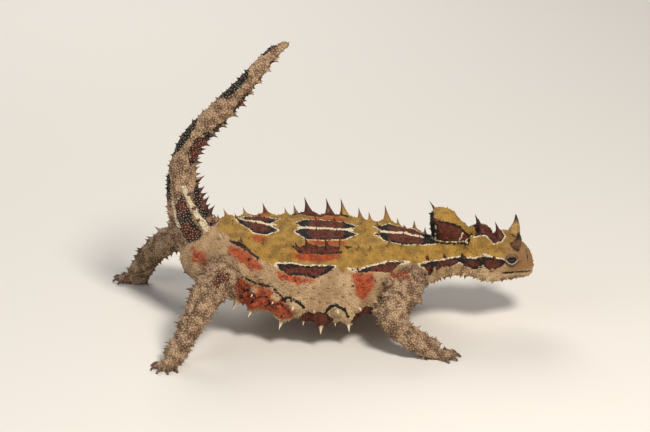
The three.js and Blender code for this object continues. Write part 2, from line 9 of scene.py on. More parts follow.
import bpy
import numpy as np
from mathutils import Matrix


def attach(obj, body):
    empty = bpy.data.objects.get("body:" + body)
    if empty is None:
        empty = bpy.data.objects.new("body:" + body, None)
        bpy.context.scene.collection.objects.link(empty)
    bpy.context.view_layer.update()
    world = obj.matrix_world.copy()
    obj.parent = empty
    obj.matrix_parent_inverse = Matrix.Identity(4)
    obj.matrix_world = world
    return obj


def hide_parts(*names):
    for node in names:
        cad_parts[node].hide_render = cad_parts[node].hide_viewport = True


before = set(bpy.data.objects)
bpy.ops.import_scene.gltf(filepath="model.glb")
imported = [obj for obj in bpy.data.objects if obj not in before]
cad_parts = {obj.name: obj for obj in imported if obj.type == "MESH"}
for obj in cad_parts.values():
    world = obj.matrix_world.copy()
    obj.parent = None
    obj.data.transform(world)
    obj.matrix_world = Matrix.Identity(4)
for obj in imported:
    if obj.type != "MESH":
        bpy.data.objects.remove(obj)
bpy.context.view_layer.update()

MM = 0.001
SHIFT = np.array([1.86, 2.74, 0.0])  # from the stations' frame to the part's
VOXEL = 0.38  # of the skin's remesh
SECTION_POWER = 2.25  # superellipse exponent of the trunk's sections
PALM_HEIGHT = 2.2

# Camera, from the photograph: 3.5 pixels for each mm across, looking down by 21 degrees
PHOTO_CENTRE = (0.0, 0.0, 31.8)
VIEW_DOWN = 21.0
VIEW_DISTANCE = 900.0
VIEW_WIDTH = 186.0
SENSOR = 36.0

# Trunk stations: x, half width, top, bottom, height of the widest line
TRUNK = np.array([
    [-41.5, 2.6, 24.4, 17.6, 21.0],
    [-40.2, 5.6, 26.2, 15.4, 20.6],
    [-37.5, 9.0, 27.8, 13.2, 20.0],
    [-32.0, 12.6, 29.0, 10.8, 19.0],
    [-24.0, 16.8, 29.6, 8.6, 17.5],
    [-14.0, 21.2, 29.0, 6.9, 15.6],
    [-3.0, 23.2, 28.2, 6.0, 14.2],
    [8.0, 21.6, 27.4, 6.4, 14.0],
    [17.0, 17.4, 26.8, 7.8, 15.2],
    [24.0, 13.0, 26.0, 9.6, 16.8],
    [30.0, 9.4, 24.9, 12.4, 17.9],
    [36.0, 7.4, 24.2, 14.4, 18.8],
    [41.0, 7.2, 24.2, 14.4, 18.8],
    [46.0, 7.9, 24.5, 13.6, 18.4],
    [51.0, 7.4, 24.6, 13.3, 18.5],
    [54.5, 6.3, 24.2, 13.6, 18.4],
    [57.0, 5.3, 23.2, 14.0, 18.0],
    [58.6, 4.1, 21.6, 14.2, 17.4],
    [59.6, 2.3, 19.4, 15.0, 17.0],
])

# Swellings of the trunk: centre x, y, z, radius, height. Each is mirrored to the other side.
SWELLINGS = [
    [52.6, 4.8, 23.8, 2.8, 1.2],  # brow over the eye
    [44.6, 5.0, 24.0, 2.8, 2.1],  # temple
    [47.5, 7.2, 15.9, 3.2, 0.9],  # jaw muscle
    [56.8, 3.6, 16.2, 2.4, 0.5],  # lip
    [23.0, 11.5, 17.5, 6.0, 1.2],  # shoulder
    [-28.0, 12.5, 19.0, 7.0, 1.4],  # hip
]

# Tail stations: x, z, radius
TAIL = [
    [-32.5, 20.5, 6.0], [-36.4, 25.6, 6.0], [-39.2, 31.6, 5.4], [-40.7, 38.0, 4.5], [-41.1, 44.0, 3.6],
    [-40.3, 49.4, 3.1], [-38.0, 54.6, 3.0], [-34.6, 58.8, 3.0], [-30.9, 62.4, 2.9], [-27.2, 66.4, 2.65],
    [-23.6, 70.4, 2.4], [-20.0, 74.6, 2.15], [-17.0, 78.4, 1.85], [-13.8, 81.6, 1.5], [-10.6, 83.6, 0.95],
]

# Leg stations: x, y, z, radius. Then the way that the foot points, in degrees from +X towards +Y.
LEGS = {
    "front_right": ([
        [23.5, -8.0, 15.8, 5.2], [22.6, -15.0, 15.6, 4.9], [20.4, -21.4, 14.2, 4.2],
        [18.6, -25.2, 11.4, 3.6], [21.4, -27.2, 7.9, 3.1], [26.2, -28.2, 4.6, 2.8],
        [29.4, -28.4, PALM_HEIGHT + 0.3, 2.6], [31.6, -28.4, PALM_HEIGHT - 0.2, 2.4],
    ], 2),
    "front_left": ([
        [23.5, 8.0, 15.8, 5.2], [21.4, 15.0, 15.6, 4.9], [16.4, 21.6, 14.4, 4.1], [12.4, 25.2, 11.8, 3.5],
        [13.2, 27.4, 8.0, 3.1], [16.0, 28.6, 4.8, 2.8], [18.8, 29.4, PALM_HEIGHT + 0.3, 2.6],
        [21.0, 30.0, PALM_HEIGHT - 0.2, 2.4],
    ], 14),
    "hind_right": ([
        [-27.5, -8.0, 18.0, 5.8], [-29.4, -14.6, 18.6, 5.4], [-31.6, -21.0, 18.4, 4.6],
        [-33.8, -26.2, 16.4, 3.8], [-36.6, -29.0, 11.6, 3.2], [-39.4, -30.8, 6.8, 2.9],
        [-41.8, -32.4, PALM_HEIGHT + 0.5, 2.7], [-43.2, -34.4, PALM_HEIGHT - 0.2, 2.5],
    ], -122),
    "hind_left": ([
        [-27.5, 8.0, 18.4, 5.8], [-32.0, 14.6, 19.0, 5.4], [-37.4, 19.4, 18.6, 4.6],
        [-42.8, 22.2, 17.2, 3.9], [-48.0, 24.2, 13.4, 3.4], [-52.4, 26.0, 8.4, 3.1],
        [-55.4, 27.2, PALM_HEIGHT + 0.5, 2.8], [-57.0, 28.2, PALM_HEIGHT - 0.3, 2.5],
    ], 155),
}
TOES = [(-56, 3.6), (-28, 4.4), (0, 4.8), (28, 4.4), (56, 3.6)]  # angle from the heading, length
TOE_RADIUS = 1.05
CLAW_LENGTH = 1.8
# Rows of a toe and of its claw: share of the toe's length, millimetres past that, height, radius
TOE_ROWS = [
    (0.0, -0.9, 1.5, TOE_RADIUS * 1.1), (0.3, 0.0, 1.25, TOE_RADIUS * 1.06), (0.62, 0.0, 0.98, TOE_RADIUS),
    (0.95, 0.0, 0.78, TOE_RADIUS * 0.8), (1.05, 0.0, 0.7, TOE_RADIUS * 0.5),
]
CLAW_ROWS = [
    (0.9, 0.0, 0.95, 0.6), (1.0, CLAW_LENGTH * 0.3, 1.05, 0.5), (1.0, CLAW_LENGTH * 0.7, 0.75, 0.32),
    (1.0, CLAW_LENGTH, 0.26, 0.1),
]

EYE_AT = np.array([53.1, 5.55, 20.9])
EYE_RADIUS = 1.85
EYE_CLEAR = 2.45  # from the eye's centre to the nearest scale
BROW_AT, BROW_RADII = [51.6, 4.4, 23.4], [3.2, 2.1, 2.2]
TEMPLE_AT, TEMPLE_RADII = [43.8, 4.2, 24.2], [3.7, 2.4, 2.8]
# A nostril and an ear: centre, radii, depth, and how fast the depth falls off
HOLES = [([58.2, 2.3, 21.6], [0.9, 0.7, 0.9], 0.9, 1.3), ([47.4, 8.2, 18.0], [0.9, 1.6, 1.5], 0.8, 1.4)]
KNOB_AT = np.array([34.7, 0.0, 28.0])
# The knob, the lower lobe before its peak, and its rear shoulder: centre and radii
KNOB_LOBES = [
    (KNOB_AT, np.array([4.2, 4.6, 5.6])),
    (np.array([37.8, 0.0, 26.2]), np.array([3.4, 4.2, 4.1])),
    (np.array([33.6, 0.0, 30.4]), np.array([2.7, 3.8, 3.1])),
]
HORN_FROM = np.array([53.9, 3.9, 24.1])
HORN_TO = np.array([55.0, 7.2, 29.6])
HORN_BOW = np.array([0.6, 0.3, -0.1])
HORN_SHARES = [0.0, 0.1, 0.2, 0.33, 0.47, 0.62, 0.76, 0.9, 1.0]
HORN_WIDTHS = [1.5, 1.75, 1.8, 1.55, 1.22, 0.86, 0.58, 0.32, 0.1]

# The small coat
SAMPLES = 150000  # places tried on the skin
SPINULE_GAP = 2.2
GRAIN_GAP = 0.68
SPINULE_PIECES = 2
GRAIN_PIECES = 5

# Large thorns of the trunk: angle from the midline of the back, then pairs of x and length.
THORN_ROWS = {
    8: [
        (-30, 2.0), (-25.5, 2.2), (-19, 2.4), (-12.5, 1.8), (-2.5, 2.0), (3.2, 2.0), (11.5, 2.4),
        (15.5, 1.8), (23, 2.0),
    ],
    35: [
        (-28.6, 3.0), (-23.2, 2.8), (-17, 4.0), (-10.8, 2.6), (-7.9, 3.4), (-4.4, 5.6), (1.4, 5.6),
        (5.4, 5.8), (10.0, 3.8), (13.0, 3.0), (18.2, 5.4), (21.6, 2.6), (26.2, 3.0),
    ],
    55: [
        (-27, 3.2), (-21.5, 3.4), (-15.5, 3.0), (-9, 2.8), (-3, 3.2), (3, 2.8), (9.5, 3.0), (15.5, 3.2),
        (21, 3.0), (25.6, 2.6),
    ],
    74: [(-25, 3.6), (-18, 3.4), (-11.5, 3.2), (-5, 3.2), (1.5, 3.4), (8, 3.2), (14.5, 3.0), (19.5, 2.6)],
    92: [
        (-24.5, 4.0), (-20, 4.4), (-14.5, 4.4), (-8.9, 5.4), (-3, 4.6), (3.5, 5.6), (9.4, 5.6), (14, 4.0),
    ],
    116: [
        (-24, 4.2), (-19.6, 4.6), (-11.6, 5.4), (-6, 3.2), (-1.4, 5.4), (2.6, 3.4), (6.4, 5.4),
        (14.4, 4.6),
    ],
    136: [(-18, 2.4), (-11, 2.4), (-4, 2.4), (3, 2.4), (9, 2.2), (14, 2.2)],
}
NECK_ROWS = {
    58: [(29, 3.0), (34.5, 2.6), (40, 2.8)],
    84: [(28.6, 2.6), (32.4, 2.6), (36.2, 2.4), (40, 2.6)],
    112: [(29, 2.2), (32.7, 2.2), (36.4, 2.0), (40, 2.2)],
}
HEAD_ROWS = {
    7: [(45.6, 6.9), (50.4, 4.6)],
    60: [(44.6, 2.2), (48.4, 2.0)],
    88: [(44.2, 2.2), (47.6, 1.8)],
    116: [(44.4, 2.0), (46.8, 2.0), (49.2, 1.8), (51.5, 1.6)],
    142: [(45.4, 1.4), (48, 1.4), (50.5, 1.2), (53, 1.2)],
}
LEAN_BACK = -0.22  # added to a thorn's axis along x
LIFT = 0.12  # and along z
ROW_LENGTHS = {55: 0.5, 74: 0.5, 92: 0.62, 116: 1.05}  # a row's share of its lengths, if not 1
FLANK_ROWS = (92, 116)
FLANK_TURN = np.array([0.2, 0.0, -0.3])  # added to the axes of these rows

rng = np.random.default_rng(11)


# Curves and sections

def spline(table, column, rows):
    """Catmull-Rom values of one column of a table at fractional rows."""
    values = np.asarray(table, float)[:, column]
    last = len(values) - 1
    i = np.clip(np.floor(rows).astype(int), 0, last - 1)
    f = rows - i
    a, b, c, d = (values[np.clip(i + k, 0, last)] for k in (-1, 0, 1, 2))
    square, cube = 2 * a - 5 * b + 4 * c - d, -a + 3 * b - 3 * c + d
    return 0.5 * (2 * b + (c - a) * f + square * f**2 + cube * f**3)


def trunk_section(x):
    """Half width, top, bottom and height of the widest line at each x."""
    rows = np.interp(x, TRUNK[:, 0], np.arange(len(TRUNK)))
    return [spline(TRUNK, column, rows) for column in (1, 2, 3, 4)]


def trunk_point(x, degrees):
    """Points of the trunk's skin. Angle 0 is the left side, 90 the back, 180 the right side."""
    x, degrees = np.broadcast_arrays(np.asarray(x, float), np.asarray(degrees, float))
    half, top, bottom, wide = trunk_section(x)
    c, s = np.cos(np.radians(degrees)), np.sin(np.radians(degrees))
    bend = lambda v: np.sign(v) * np.abs(v) ** (2 / SECTION_POWER)
    reach = np.where(s > 0, top - wide, wide - bottom)
    point = np.stack([x, half * bend(c), wide + reach * bend(s)], axis=-1)
    out = point - np.stack([x, 0 * x, wide], axis=-1)
    out /= np.maximum(np.linalg.norm(out, axis=-1, keepdims=True), 1e-6)
    for sx, sy, sz, radius, height in SWELLINGS:
        for side in (1, -1):
            away = norms(point - np.array([sx, side * sy, sz])) / radius
            point = point + out * (height * np.exp(-1.6 * away**2))[..., None]
    return point


def trunk_normal(x, degrees):
    along = trunk_point(x + 0.4, degrees) - trunk_point(x - 0.4, degrees)
    around = trunk_point(x, degrees + 3) - trunk_point(x, degrees - 3)
    return unit(np.cross(around, along))


def norms(vectors):
    return np.linalg.norm(vectors, axis=-1)


def unit(vectors):
    return vectors / np.maximum(np.linalg.norm(vectors, axis=-1, keepdims=True), 1e-9)


class Limb:
    """A tube through stations x, y, z, radius, along a centripetal Catmull-Rom curve."""

    FRAMES = 60

    def __init__(self, stations):
        self.stations = np.asarray(stations, float)
        points = self.stations[:, :3]
        self.points = np.vstack([2 * points[0] - points[1], points, 2 * points[-1] - points[-2]])
        self.sides = self.carry()
        self.samples = self.centre(np.linspace(0, 1, 121))
        steps = norms(np.diff(self.samples, axis=0))
        self.lengths = np.concatenate([[0], np.cumsum(steps)])

    def centre(self, t):
        t = np.asarray(t, float)
        spans = len(self.stations) - 1
        i = np.clip(np.floor(t * spans).astype(int), 0, spans - 1)
        w = (t * spans - i)[..., None]
        p0, p1, p2, p3 = (self.points[i + k] for k in range(4))
        d0, d1, d2 = (
            np.sqrt(np.maximum(np.linalg.norm(b - a, axis=-1, keepdims=True), 1e-4))
            for a, b in ((p0, p1), (p1, p2), (p2, p3))
        )
        start = ((p1 - p0) / d0 - (p2 - p0) / (d0 + d1) + (p2 - p1) / d1) * d1
        stop = ((p2 - p1) / d1 - (p3 - p1) / (d1 + d2) + (p3 - p2) / d2) * d1
        square, cube = -3 * p1 + 3 * p2 - 2 * start - stop, 2 * p1 - 2 * p2 + start + stop
        return p1 + start * w + square * w**2 + cube * w**3

    def tangent(self, t):
        t = np.asarray(t, float)
        return unit(self.centre(np.minimum(t + 1e-3, 1)) - self.centre(np.maximum(t - 1e-3, 0)))

    def frame(self, t):
        """The curve's tangent, and the side and up vectors across it."""
        tangent = self.tangent(t)
        side = self.sides[np.rint(t * self.FRAMES).astype(int)]
        side = unit(side - tangent * np.sum(side * tangent, axis=-1, keepdims=True))
        return tangent, side, np.cross(side, tangent)

    def radius(self, t):
        return np.maximum(spline(self.stations, 3, np.asarray(t, float) * (len(self.stations) - 1)), 0.3)

    def reach(self, t):
        """Millimetres along the curve from its root."""
        return np.interp(t, np.linspace(0, 1, len(self.lengths)), self.lengths)

    def carry(self):
        """Side vectors carried along the curve without twist."""
        first = self.tangent(0.0)
        side = np.cross(first, [0, 1, 0])
        if np.linalg.norm(side) < 0.3:
            side = np.cross(first, [0, 0, 1])
        sides = [unit(side)]
        for i in range(1, self.FRAMES + 1):
            tangent = self.tangent(i / self.FRAMES)
            sides.append(unit(sides[-1] - tangent * np.dot(sides[-1], tangent)))
        return np.array(sides)

    def skin(self, t, degrees, swell=0.0):
        """Points on the tube, their outward normals and the curve's tangents."""
        t, degrees = np.broadcast_arrays(np.asarray(t, float), np.asarray(degrees, float))
        tangent, side, up = self.frame(t)
        angle = np.radians(degrees)[..., None]
        out = side * np.cos(angle) + up * np.sin(angle)
        return self.centre(t) + out * (self.radius(t) + swell)[..., None], out, tangent

    def nearest(self, points):
        """For each point: distance outside the tube, t, and angle round the curve."""
        best = np.full(len(points), 1e9)
        t = np.zeros(len(points))
        for i, centre in enumerate(self.samples):
            share = i / (len(self.samples) - 1)
            away = norms(points - centre) - self.radius(share)
            closer = away < best
            best[closer] = away[closer]
            t[closer] = share
        _, side, up = self.frame(t)
        out = points - self.centre(t)
        angle = np.degrees(np.arctan2(np.sum(out * up, axis=1), np.sum(out * side, axis=1)))
        return best, t, angle % 360


tail = Limb([[x, 0.0, z, r] for x, z, r in TAIL])
legs = {name: Limb(stations) for name, (stations, _) in LEGS.items()}


def toe_limbs(name):
    """The five toes of a foot and the claws at their ends."""
    stations, heading = LEGS[name]
    x, y = stations[-1][:2]
    toes, claws = [], []
    for turn, length in TOES:
        angle = math.radians(heading + turn)
        for made, rows in ((toes, TOE_ROWS), (claws, CLAW_ROWS)):
            reaches = [length * share + more for share, more, _, _ in rows]
            made.append(Limb([
                [x + math.cos(angle) * reach, y + math.sin(angle) * reach, z, radius]
                for reach, (_, _, z, radius) in zip(reaches, rows)
            ]))
    return toes, claws


toes_of = {name: toe_limbs(name) for name in LEGS}


# Meshes

def mesh_object(name, points, faces, smooth=True):
    """A Blender object from points in the stations' frame and faces of equal size."""
    mesh = bpy.data.meshes.new(name)
    mesh.vertices.add(len(points))
    mesh.vertices.foreach_set("co", ((np.asarray(points) + SHIFT) * MM).ravel())
    faces = np.asarray(faces)
    sides = faces.shape[1]
    mesh.loops.add(faces.size)
    mesh.loops.foreach_set("vertex_index", faces.ravel())
    mesh.polygons.add(len(faces))
    mesh.polygons.foreach_set("loop_start", np.arange(len(faces)) * sides)
    mesh.update(calc_edges=True)
    if smooth:
        mesh.shade_smooth()
    made = bpy.data.objects.new(name, mesh)
    bpy.context.collection.objects.link(made)
    return made


def ring_faces(rings, sides):
    """Triangles of a closed loft: rings in order, then the points of the two ends."""
    k = np.arange(sides)
    n = (k + 1) % sides
    faces = []
    for r in range(rings - 1):
        a, b, c, d = r * sides + k, r * sides + n, (r + 1) * sides + k, (r + 1) * sides + n
        faces += [np.stack([a, c, b], 1), np.stack([b, c, d], 1)]
    start, stop, top = rings * sides, rings * sides + 1, (rings - 1) * sides
    faces += [np.stack([0 * k + start, k, n], 1), np.stack([0 * k + stop, top + n, top + k], 1)]
    return np.vstack(faces)


def facing_out(points, faces):
    """The triangles of a closed form, turned over if they face in."""
    corner = points[faces]
    volume = np.einsum("ij,ij->i", corner[:, 0], np.cross(corner[:, 1], corner[:, 2])).sum()
    return faces if volume > 0 else faces[:, ::-1]


def loft(rings):
    """Points and triangles of a closed loft through equal rings."""
    rings = np.asarray(rings)
    count, sides, _ = rings.shape
    points = np.vstack([rings.reshape(-1, 3), rings[0].mean(0), rings[-1].mean(0)])
    return points, facing_out(points, ring_faces(count, sides))


def tube(limb, steps, sides, swell=0.0):
    t = np.linspace(0, 1, steps + 1)[:, None]
    return loft(limb.skin(t, np.arange(sides) * 360.0 / sides, swell)[0])


def ellipsoid(centre, radii, side=1, steps=24, sides=36):
    """A closed ellipsoid, on the right of the body if side is -1."""
    polar = np.linspace(0.06, math.pi - 0.06, steps)[:, None]
    around = np.arange(sides) * 2 * math.pi / sides
    ring = [np.sin(polar) * np.cos(around), np.sin(polar) * np.sin(around), np.cos(polar) + 0 * around]
    return loft(np.multiply(centre, [1, side, 1]) + np.stack(ring, axis=-1) * np.asarray(radii))


def gather(parts):
    """One list of points and one of faces from several."""
    points, faces, start = [], [], 0
    for p, f in parts:
        points.append(p)
        faces.append(f + start)
        start += len(p)
    return np.vstack(points), np.vstack(faces)


# The skin

def lid_ring(side):
    """The rim of the lids, an oval ring round the eye, thicker above it."""
    outward = unit(np.array([0.12, side, 0.16]))
    along = unit(np.cross(outward, [0, 0, 1.0]))
    up = np.cross(along, outward)
    middle = EYE_AT * [1, side, 1] + outward * 0.75
    count, sides = 40, 12
    rings = []
    for a in np.linspace(0, 2 * math.pi, count, endpoint=False):
        spoke = along * math.cos(a) * 1.12 + up * math.sin(a) * 0.8
        thick = 0.62 if math.sin(a) > 0 else 0.5
        rings.append([
            middle + spoke * (2.2 + thick * math.cos(b)) + outward * thick * math.sin(b)
            for b in np.linspace(0, 2 * math.pi, sides, endpoint=False)
        ])
    index = np.arange(count * sides).reshape(count, sides)
    a, b = index, np.roll(index, -1, axis=1)
    c, d = np.roll(index, -1, axis=0), np.roll(np.roll(index, -1, axis=0), -1, axis=1)
    faces = np.vstack([np.stack([a, c, b], -1).reshape(-1, 3), np.stack([b, c, d], -1).reshape(-1, 3)])
    points = np.reshape(rings, (-1, 3))
    return points, facing_out(points, faces)


def skin_core():
    """Closed forms that together fill the animal's flesh."""
    spans = (-41.5, -36, 14), (-35.5, 54, 110), (54.5, 59.6, 16)
    x = np.concatenate([np.linspace(*span) for span in spans])
    parts = [loft(trunk_point(x[:, None], np.arange(72) * 5.0)), tube(tail, 90, 24)]
    for name, limb in legs.items():
        parts.append(tube(limb, 60, 24))
        parts += [tube(toe, 16, 12) for toe in toes_of[name][0]]
    parts += [ellipsoid(TEMPLE_AT, TEMPLE_RADII, side) for side in (1, -1)]
    parts += [ellipsoid(centre, radii) for centre, radii in KNOB_LOBES]
    for side in (1, -1):
        parts += [lid_ring(side), ellipsoid(BROW_AT, BROW_RADII, side)]
    return gather(parts)


def remeshed(points, faces):
    """Points, quads and edges of one closed skin round all the forms."""
    rough = mesh_object("rough", points, faces, smooth=False)
    shaper = rough.modifiers.new("remesh", "REMESH")
    shaper.mode = "VOXEL"
    shaper.voxel_size = VOXEL * MM
    made = rough.evaluated_get(bpy.context.evaluated_depsgraph_get()).to_mesh()
    co = np.empty(len(made.vertices) * 3)
    made.vertices.foreach_get("co", co)
    corners = np.empty(len(made.loops), int)
    made.loops.foreach_get("vertex_index", corners)
    edges = np.empty(len(made.edges) * 2, int)
    made.edges.foreach_get("vertices", edges)
    result = co.reshape(-1, 3) / MM - SHIFT, corners.reshape(-1, 4), edges.reshape(-1, 2)
    bpy.data.objects.remove(rough)
    return result


def relax(points, edges, weight, times):
    """Moves each point part of the way to its neighbours' mean."""
    count = np.bincount(edges.ravel(), minlength=len(points))
    weight = np.broadcast_to(weight, len(points))[:, None]
    for _ in range(times):
        total = np.stack([
            np.bincount(edges[:, 0], points[edges[:, 1], k], len(points))
            + np.bincount(edges[:, 1], points[edges[:, 0], k], len(points))
            for k in range(3)
        ], axis=1)
        points = points + weight * (total / count[:, None] - points)
    return points


def normals_of(points, quads):
    corner = points[quads]
    flat = np.cross(corner[:, 2] - corner[:, 0], corner[:, 3] - corner[:, 1])
    total = np.zeros_like(points)
    for k in range(3):
        for j in range(4):
            total[:, k] += np.bincount(quads[:, j], flat[:, k], len(points))
    return unit(total)


# Where a point of the skin lies on the body

ARC_X = np.arange(-41.5, 59.7, 0.5)
ARC_DEGREES = np.arange(0, 181, 2.0)
ARC_STEPS = norms(np.diff(trunk_point(ARC_X[:, None], 90 - ARC_DEGREES), axis=1))
ARC = np.concatenate([np.zeros((len(ARC_X), 1)), np.cumsum(ARC_STEPS, axis=1)], axis=1)


def arc_length(x, degrees):
    """Millimetres round the trunk from the midline of the back to an angle from it."""
    sign = np.sign(degrees)
    row = np.clip((np.asarray(x, float) - ARC_X[0]) / 0.5, 0, len(ARC_X) - 1.001)
    column = np.clip(np.abs(degrees) / 2.0, 0, len(ARC_DEGREES) - 1.001)
    i, j = np.floor(row).astype(int), np.floor(column).astype(int)
    f, g = row - i, column - j
    low = ARC[i, j] * (1 - f) * (1 - g) + ARC[i + 1, j] * f * (1 - g)
    return sign * (low + ARC[i, j + 1] * (1 - f) * g + ARC[i + 1, j + 1] * f * g)


def trunk_place(points):
    """Distance outside the trunk, and angle from the midline of the back, positive on the right side."""
    x = np.clip(points[:, 0], TRUNK[0, 0] + 0.2, TRUNK[-1, 0] - 0.2)
    half, top, bottom, wide = trunk_section(x)
    across = points[:, 1] / half
    rise = points[:, 2] - wide
    up = rise / np.where(rise > 0, top - wide, wide - bottom)
    power = SECTION_POWER / 2
    degrees = np.degrees(np.arctan2(np.abs(across) ** power, np.sign(up) * np.abs(up) ** power))
    away = (np.hypot(across, up) - 1) * np.minimum(half, top - wide) + np.abs(points[:, 0] - x)
    return away, np.where(points[:, 1] <= 0, degrees, -degrees)


def polygon_distance(px, py, outline_x, outline_y):
    """Signed distance of points to a closed outline, positive inside."""
    best = np.full(len(px), 1e9)
    inside = np.zeros(len(px), bool)
    for i in range(len(outline_x)):
        j = (i + 1) % len(outline_x)
        ax, ay, bx, by = outline_x[i], outline_y[i], outline_x[j], outline_y[j]
        dx, dy = bx - ax, by - ay
        f = np.clip(((px - ax) * dx + (py - ay) * dy) / (dx * dx + dy * dy), 0, 1)
        best = np.minimum(best, np.hypot(px - ax - f * dx, py - ay - f * dy))
        crosses = (ay > py) != (by > py)
        with np.errstate(divide="ignore", invalid="ignore"):
            at = ax + (py - ay) * dx / dy
        inside ^= crosses & (px < at)
    return np.where(inside, best, -best)


def band_distance(px, py, line_x, line_y, width):
    """Signed distance of points to a band of that width along an open line, positive inside."""
    best = np.full(len(px), 1e9)
    for i in range(len(line_x) - 1):
        dx, dy = line_x[i + 1] - line_x[i], line_y[i + 1] - line_y[i]
        f = np.clip(((px - line_x[i]) * dx + (py - line_y[i]) * dy) / (dx * dx + dy * dy), 0, 1)
        best = np.minimum(best, np.hypot(px - line_x[i] - f * dx, py - line_y[i] - f * dy))
    return width / 2 - best


def shape_distance(shapes, px, py, height):
    """Signed distance of points to outlines, whose second numbers are turned into mm by height."""
    outlines = [np.array(shape, float).T for shape in shapes]
    return np.max([polygon_distance(px, py, ox, height(ox, angle)) for ox, angle in outlines], axis=0)


def line_distance(lines, px, py, height):
    """The same for bands, each given by its line and its width."""
    bands = [(np.array(line, float).T, width) for line, width in lines]
    found = [band_distance(px, py, ox, height(ox, angle), width) for (ox, angle), width in bands]
    return np.max(found, axis=0)


# Markings of the trunk: outlines in x and degrees from the midline of the back

# Black with a pale edge
EDGED_SHAPES = [
    [(-26.6, -1), (-17, -1), (-13.3, 9), (-16.3, 17), (-20, 20.5), (-23.8, 11)],
    [(-8.8, 6), (-5, -1), (5, -1), (9.3, 7), (5.1, 15.5), (0, 16.8), (-5.3, 17)],
    [(14.0, 7), (17.5, -1), (31, -1), (32.2, 14), (26.4, 25.5), (22.2, 26), (17.9, 21)],
    [
        (-14, 53.5), (-9, 50), (-5.7, 50.5), (2.9, 49), (1, 57), (-2.9, 64.5), (-5.7, 61), (-9.5, 63.5),
        (-12.4, 60),
    ],
    [
        (6.7, 52), (9.1, 55.5), (12.3, 52.5), (17.9, 51.5), (23.8, 57), (24.4, 66), (18.6, 66.5),
        (13.6, 60), (9.3, 58.2),
    ],
    [
        (24.8, 66), (29.5, 64), (36.3, 62.5), (38.6, 61), (41.5, 63), (44.3, 60), (47, 58), (50.2, 66),
        (51.7, 74), (50.4, 84), (46.5, 90), (45, 80), (43, 92), (40.6, 86), (38.6, 76), (35, 84), (31, 80),
        (30.5, 92), (26, 92),
    ],
    [(38.5, -1), (40.2, 14), (43, 19), (45.6, 15), (47.4, 24), (50.6, 23), (51.6, -1)],
]
# Black without one
PLAIN_SHAPES = [
    [
        (-9.9, 28), (-7.6, 30.5), (-5.1, 25.5), (0, 27), (4, 27.5), (7.9, 26.5), (4.6, 36), (0, 36.5),
        (-7.1, 37.5),
    ],
    [(-27.4, 38.5), (-22.9, 42), (-17.8, 52), (-18.6, 54), (-23.4, 47), (-27, 43)],
    # The last three, low on the flank between the cones, are the belly's dark blotches and also painted
    # shade under the flank
    [(-7.4, 118), (-5.6, 105), (-2, 101), (0.8, 106), (2.4, 118), (1.2, 136), (-6, 138)],
    [(7.1, 122), (10.4, 100), (13.6, 108), (13.2, 132), (8, 134)],
    [(17.0, 112), (20.4, 104), (22, 116), (18, 126)],
]
# The red-brown inside the black
CORE_SHAPES = [
    [(-23.6, -1), (-17.6, -1), (-15.8, 9), (-17.5, 15), (-20, 17.5), (-22.5, 10)],
    [(-4.6, -1), (4.6, -1), (5.6, 8), (4.5, 14), (-3.6, 15.5), (-5.2, 8)],
    [(18.0, -1), (29.6, -1), (30.4, 12), (26, 21), (22, 21.5), (18.3, 17)],
    [(-8, 29), (-5, 27.5), (4.6, 28), (4.2, 35.5), (-6.4, 36.5)],
    [(-12, 55.5), (-5, 52), (0.6, 51.8), (-1.6, 61.5), (-6, 59), (-10.6, 61.5)],
    [(-24.4, 45), (-22, 45), (-19.4, 51.5), (-20.6, 51.5)],
    [(12.4, 54.5), (17.8, 53.5), (22.8, 59.5), (22.6, 66), (18.6, 66), (13.4, 59.5)],
    # Red-brown of the low patches between the flank cones, here and in the last: partly the belly's own
    # colour, partly painted shade under the flank
    [(-7, 118), (-5.2, 106), (-2, 102), (0.4, 107), (1.8, 118), (0.6, 134), (-5.6, 136)],
    [(7.7, 122), (10.3, 103), (12.9, 110), (12.5, 130), (8.6, 132)],
    [(25.6, 69), (29.8, 71), (30.2, 83), (28.6, 91), (25.8, 87)],
    [(32, 70), (35.4, 68.5), (37.6, 71), (35, 81), (32, 79)],
    [(40.2, 72), (42, 68), (43.8, 69), (43.7, 84), (41.3, 84)],
    [(45.4, 68), (47, 62.5), (49.8, 70), (50.2, 81), (46.5, 87)],
    [(42, -1), (42.6, 12), (45, 11), (46.7, 20), (50, 20), (50.4, -1)],
    [(17.8, 113), (20.2, 107), (21.3, 116), (18.4, 122)],
]
# Orange-red patches
FIRE_SHAPES = [
    [(-21.3, 28), (-18.6, 21.5), (-16, 24), (-16.2, 29), (-18.6, 33)],
    [(-5, 18.5), (5.7, 17.5), (6.2, 22), (4, 26), (-4, 25)],
    [(-9.4, 37.5), (4.8, 36.5), (4.5, 40.5), (-2, 46.5), (-8.9, 44)],
    [(-13.3, 62), (-9.5, 62), (-3, 64), (-2.3, 68.5), (-8.3, 73), (-13.2, 70)],
    [(-27.2, 43), (-23.4, 47), (-18.6, 54.5), (-17.6, 61), (-20.5, 70), (-24.2, 62), (-27.5, 55)],
    [(7.2, 58), (9.4, 57.5), (13.5, 60.5), (14.4, 70), (12.8, 84), (10.6, 92), (8.4, 78)],
    [(18.6, 68), (23.6, 70), (24, 86), (19.5, 84)],
    [(-38, 58), (-34.5, 62), (-32.5, 74), (-34, 84), (-37.5, 80)],
    [
        (-27, 86), (-23.4, 83), (-19.4, 85), (-14.9, 84.5), (-11.1, 93), (-8.3, 107), (-9, 124),
        (-24.3, 122),
    ],
]
OLIVE_FIELD = [
    (-33, 0), (-31, 24), (-27, 38), (-22.9, 42.5), (-18.2, 52), (-15.4, 56), (-12, 50), (-5, 48.5),
    (3, 48.5), (5.0, 57), (7, 52.5), (12.3, 52.5), (17.9, 51.5), (23.8, 57), (26, 68), (30, 63.5),
    (36.3, 61.5), (44.3, 58), (49.6, 65), (51.6, 56), (55, 30), (56, 0), (54, -6), (10, -6), (-30, -6),
]
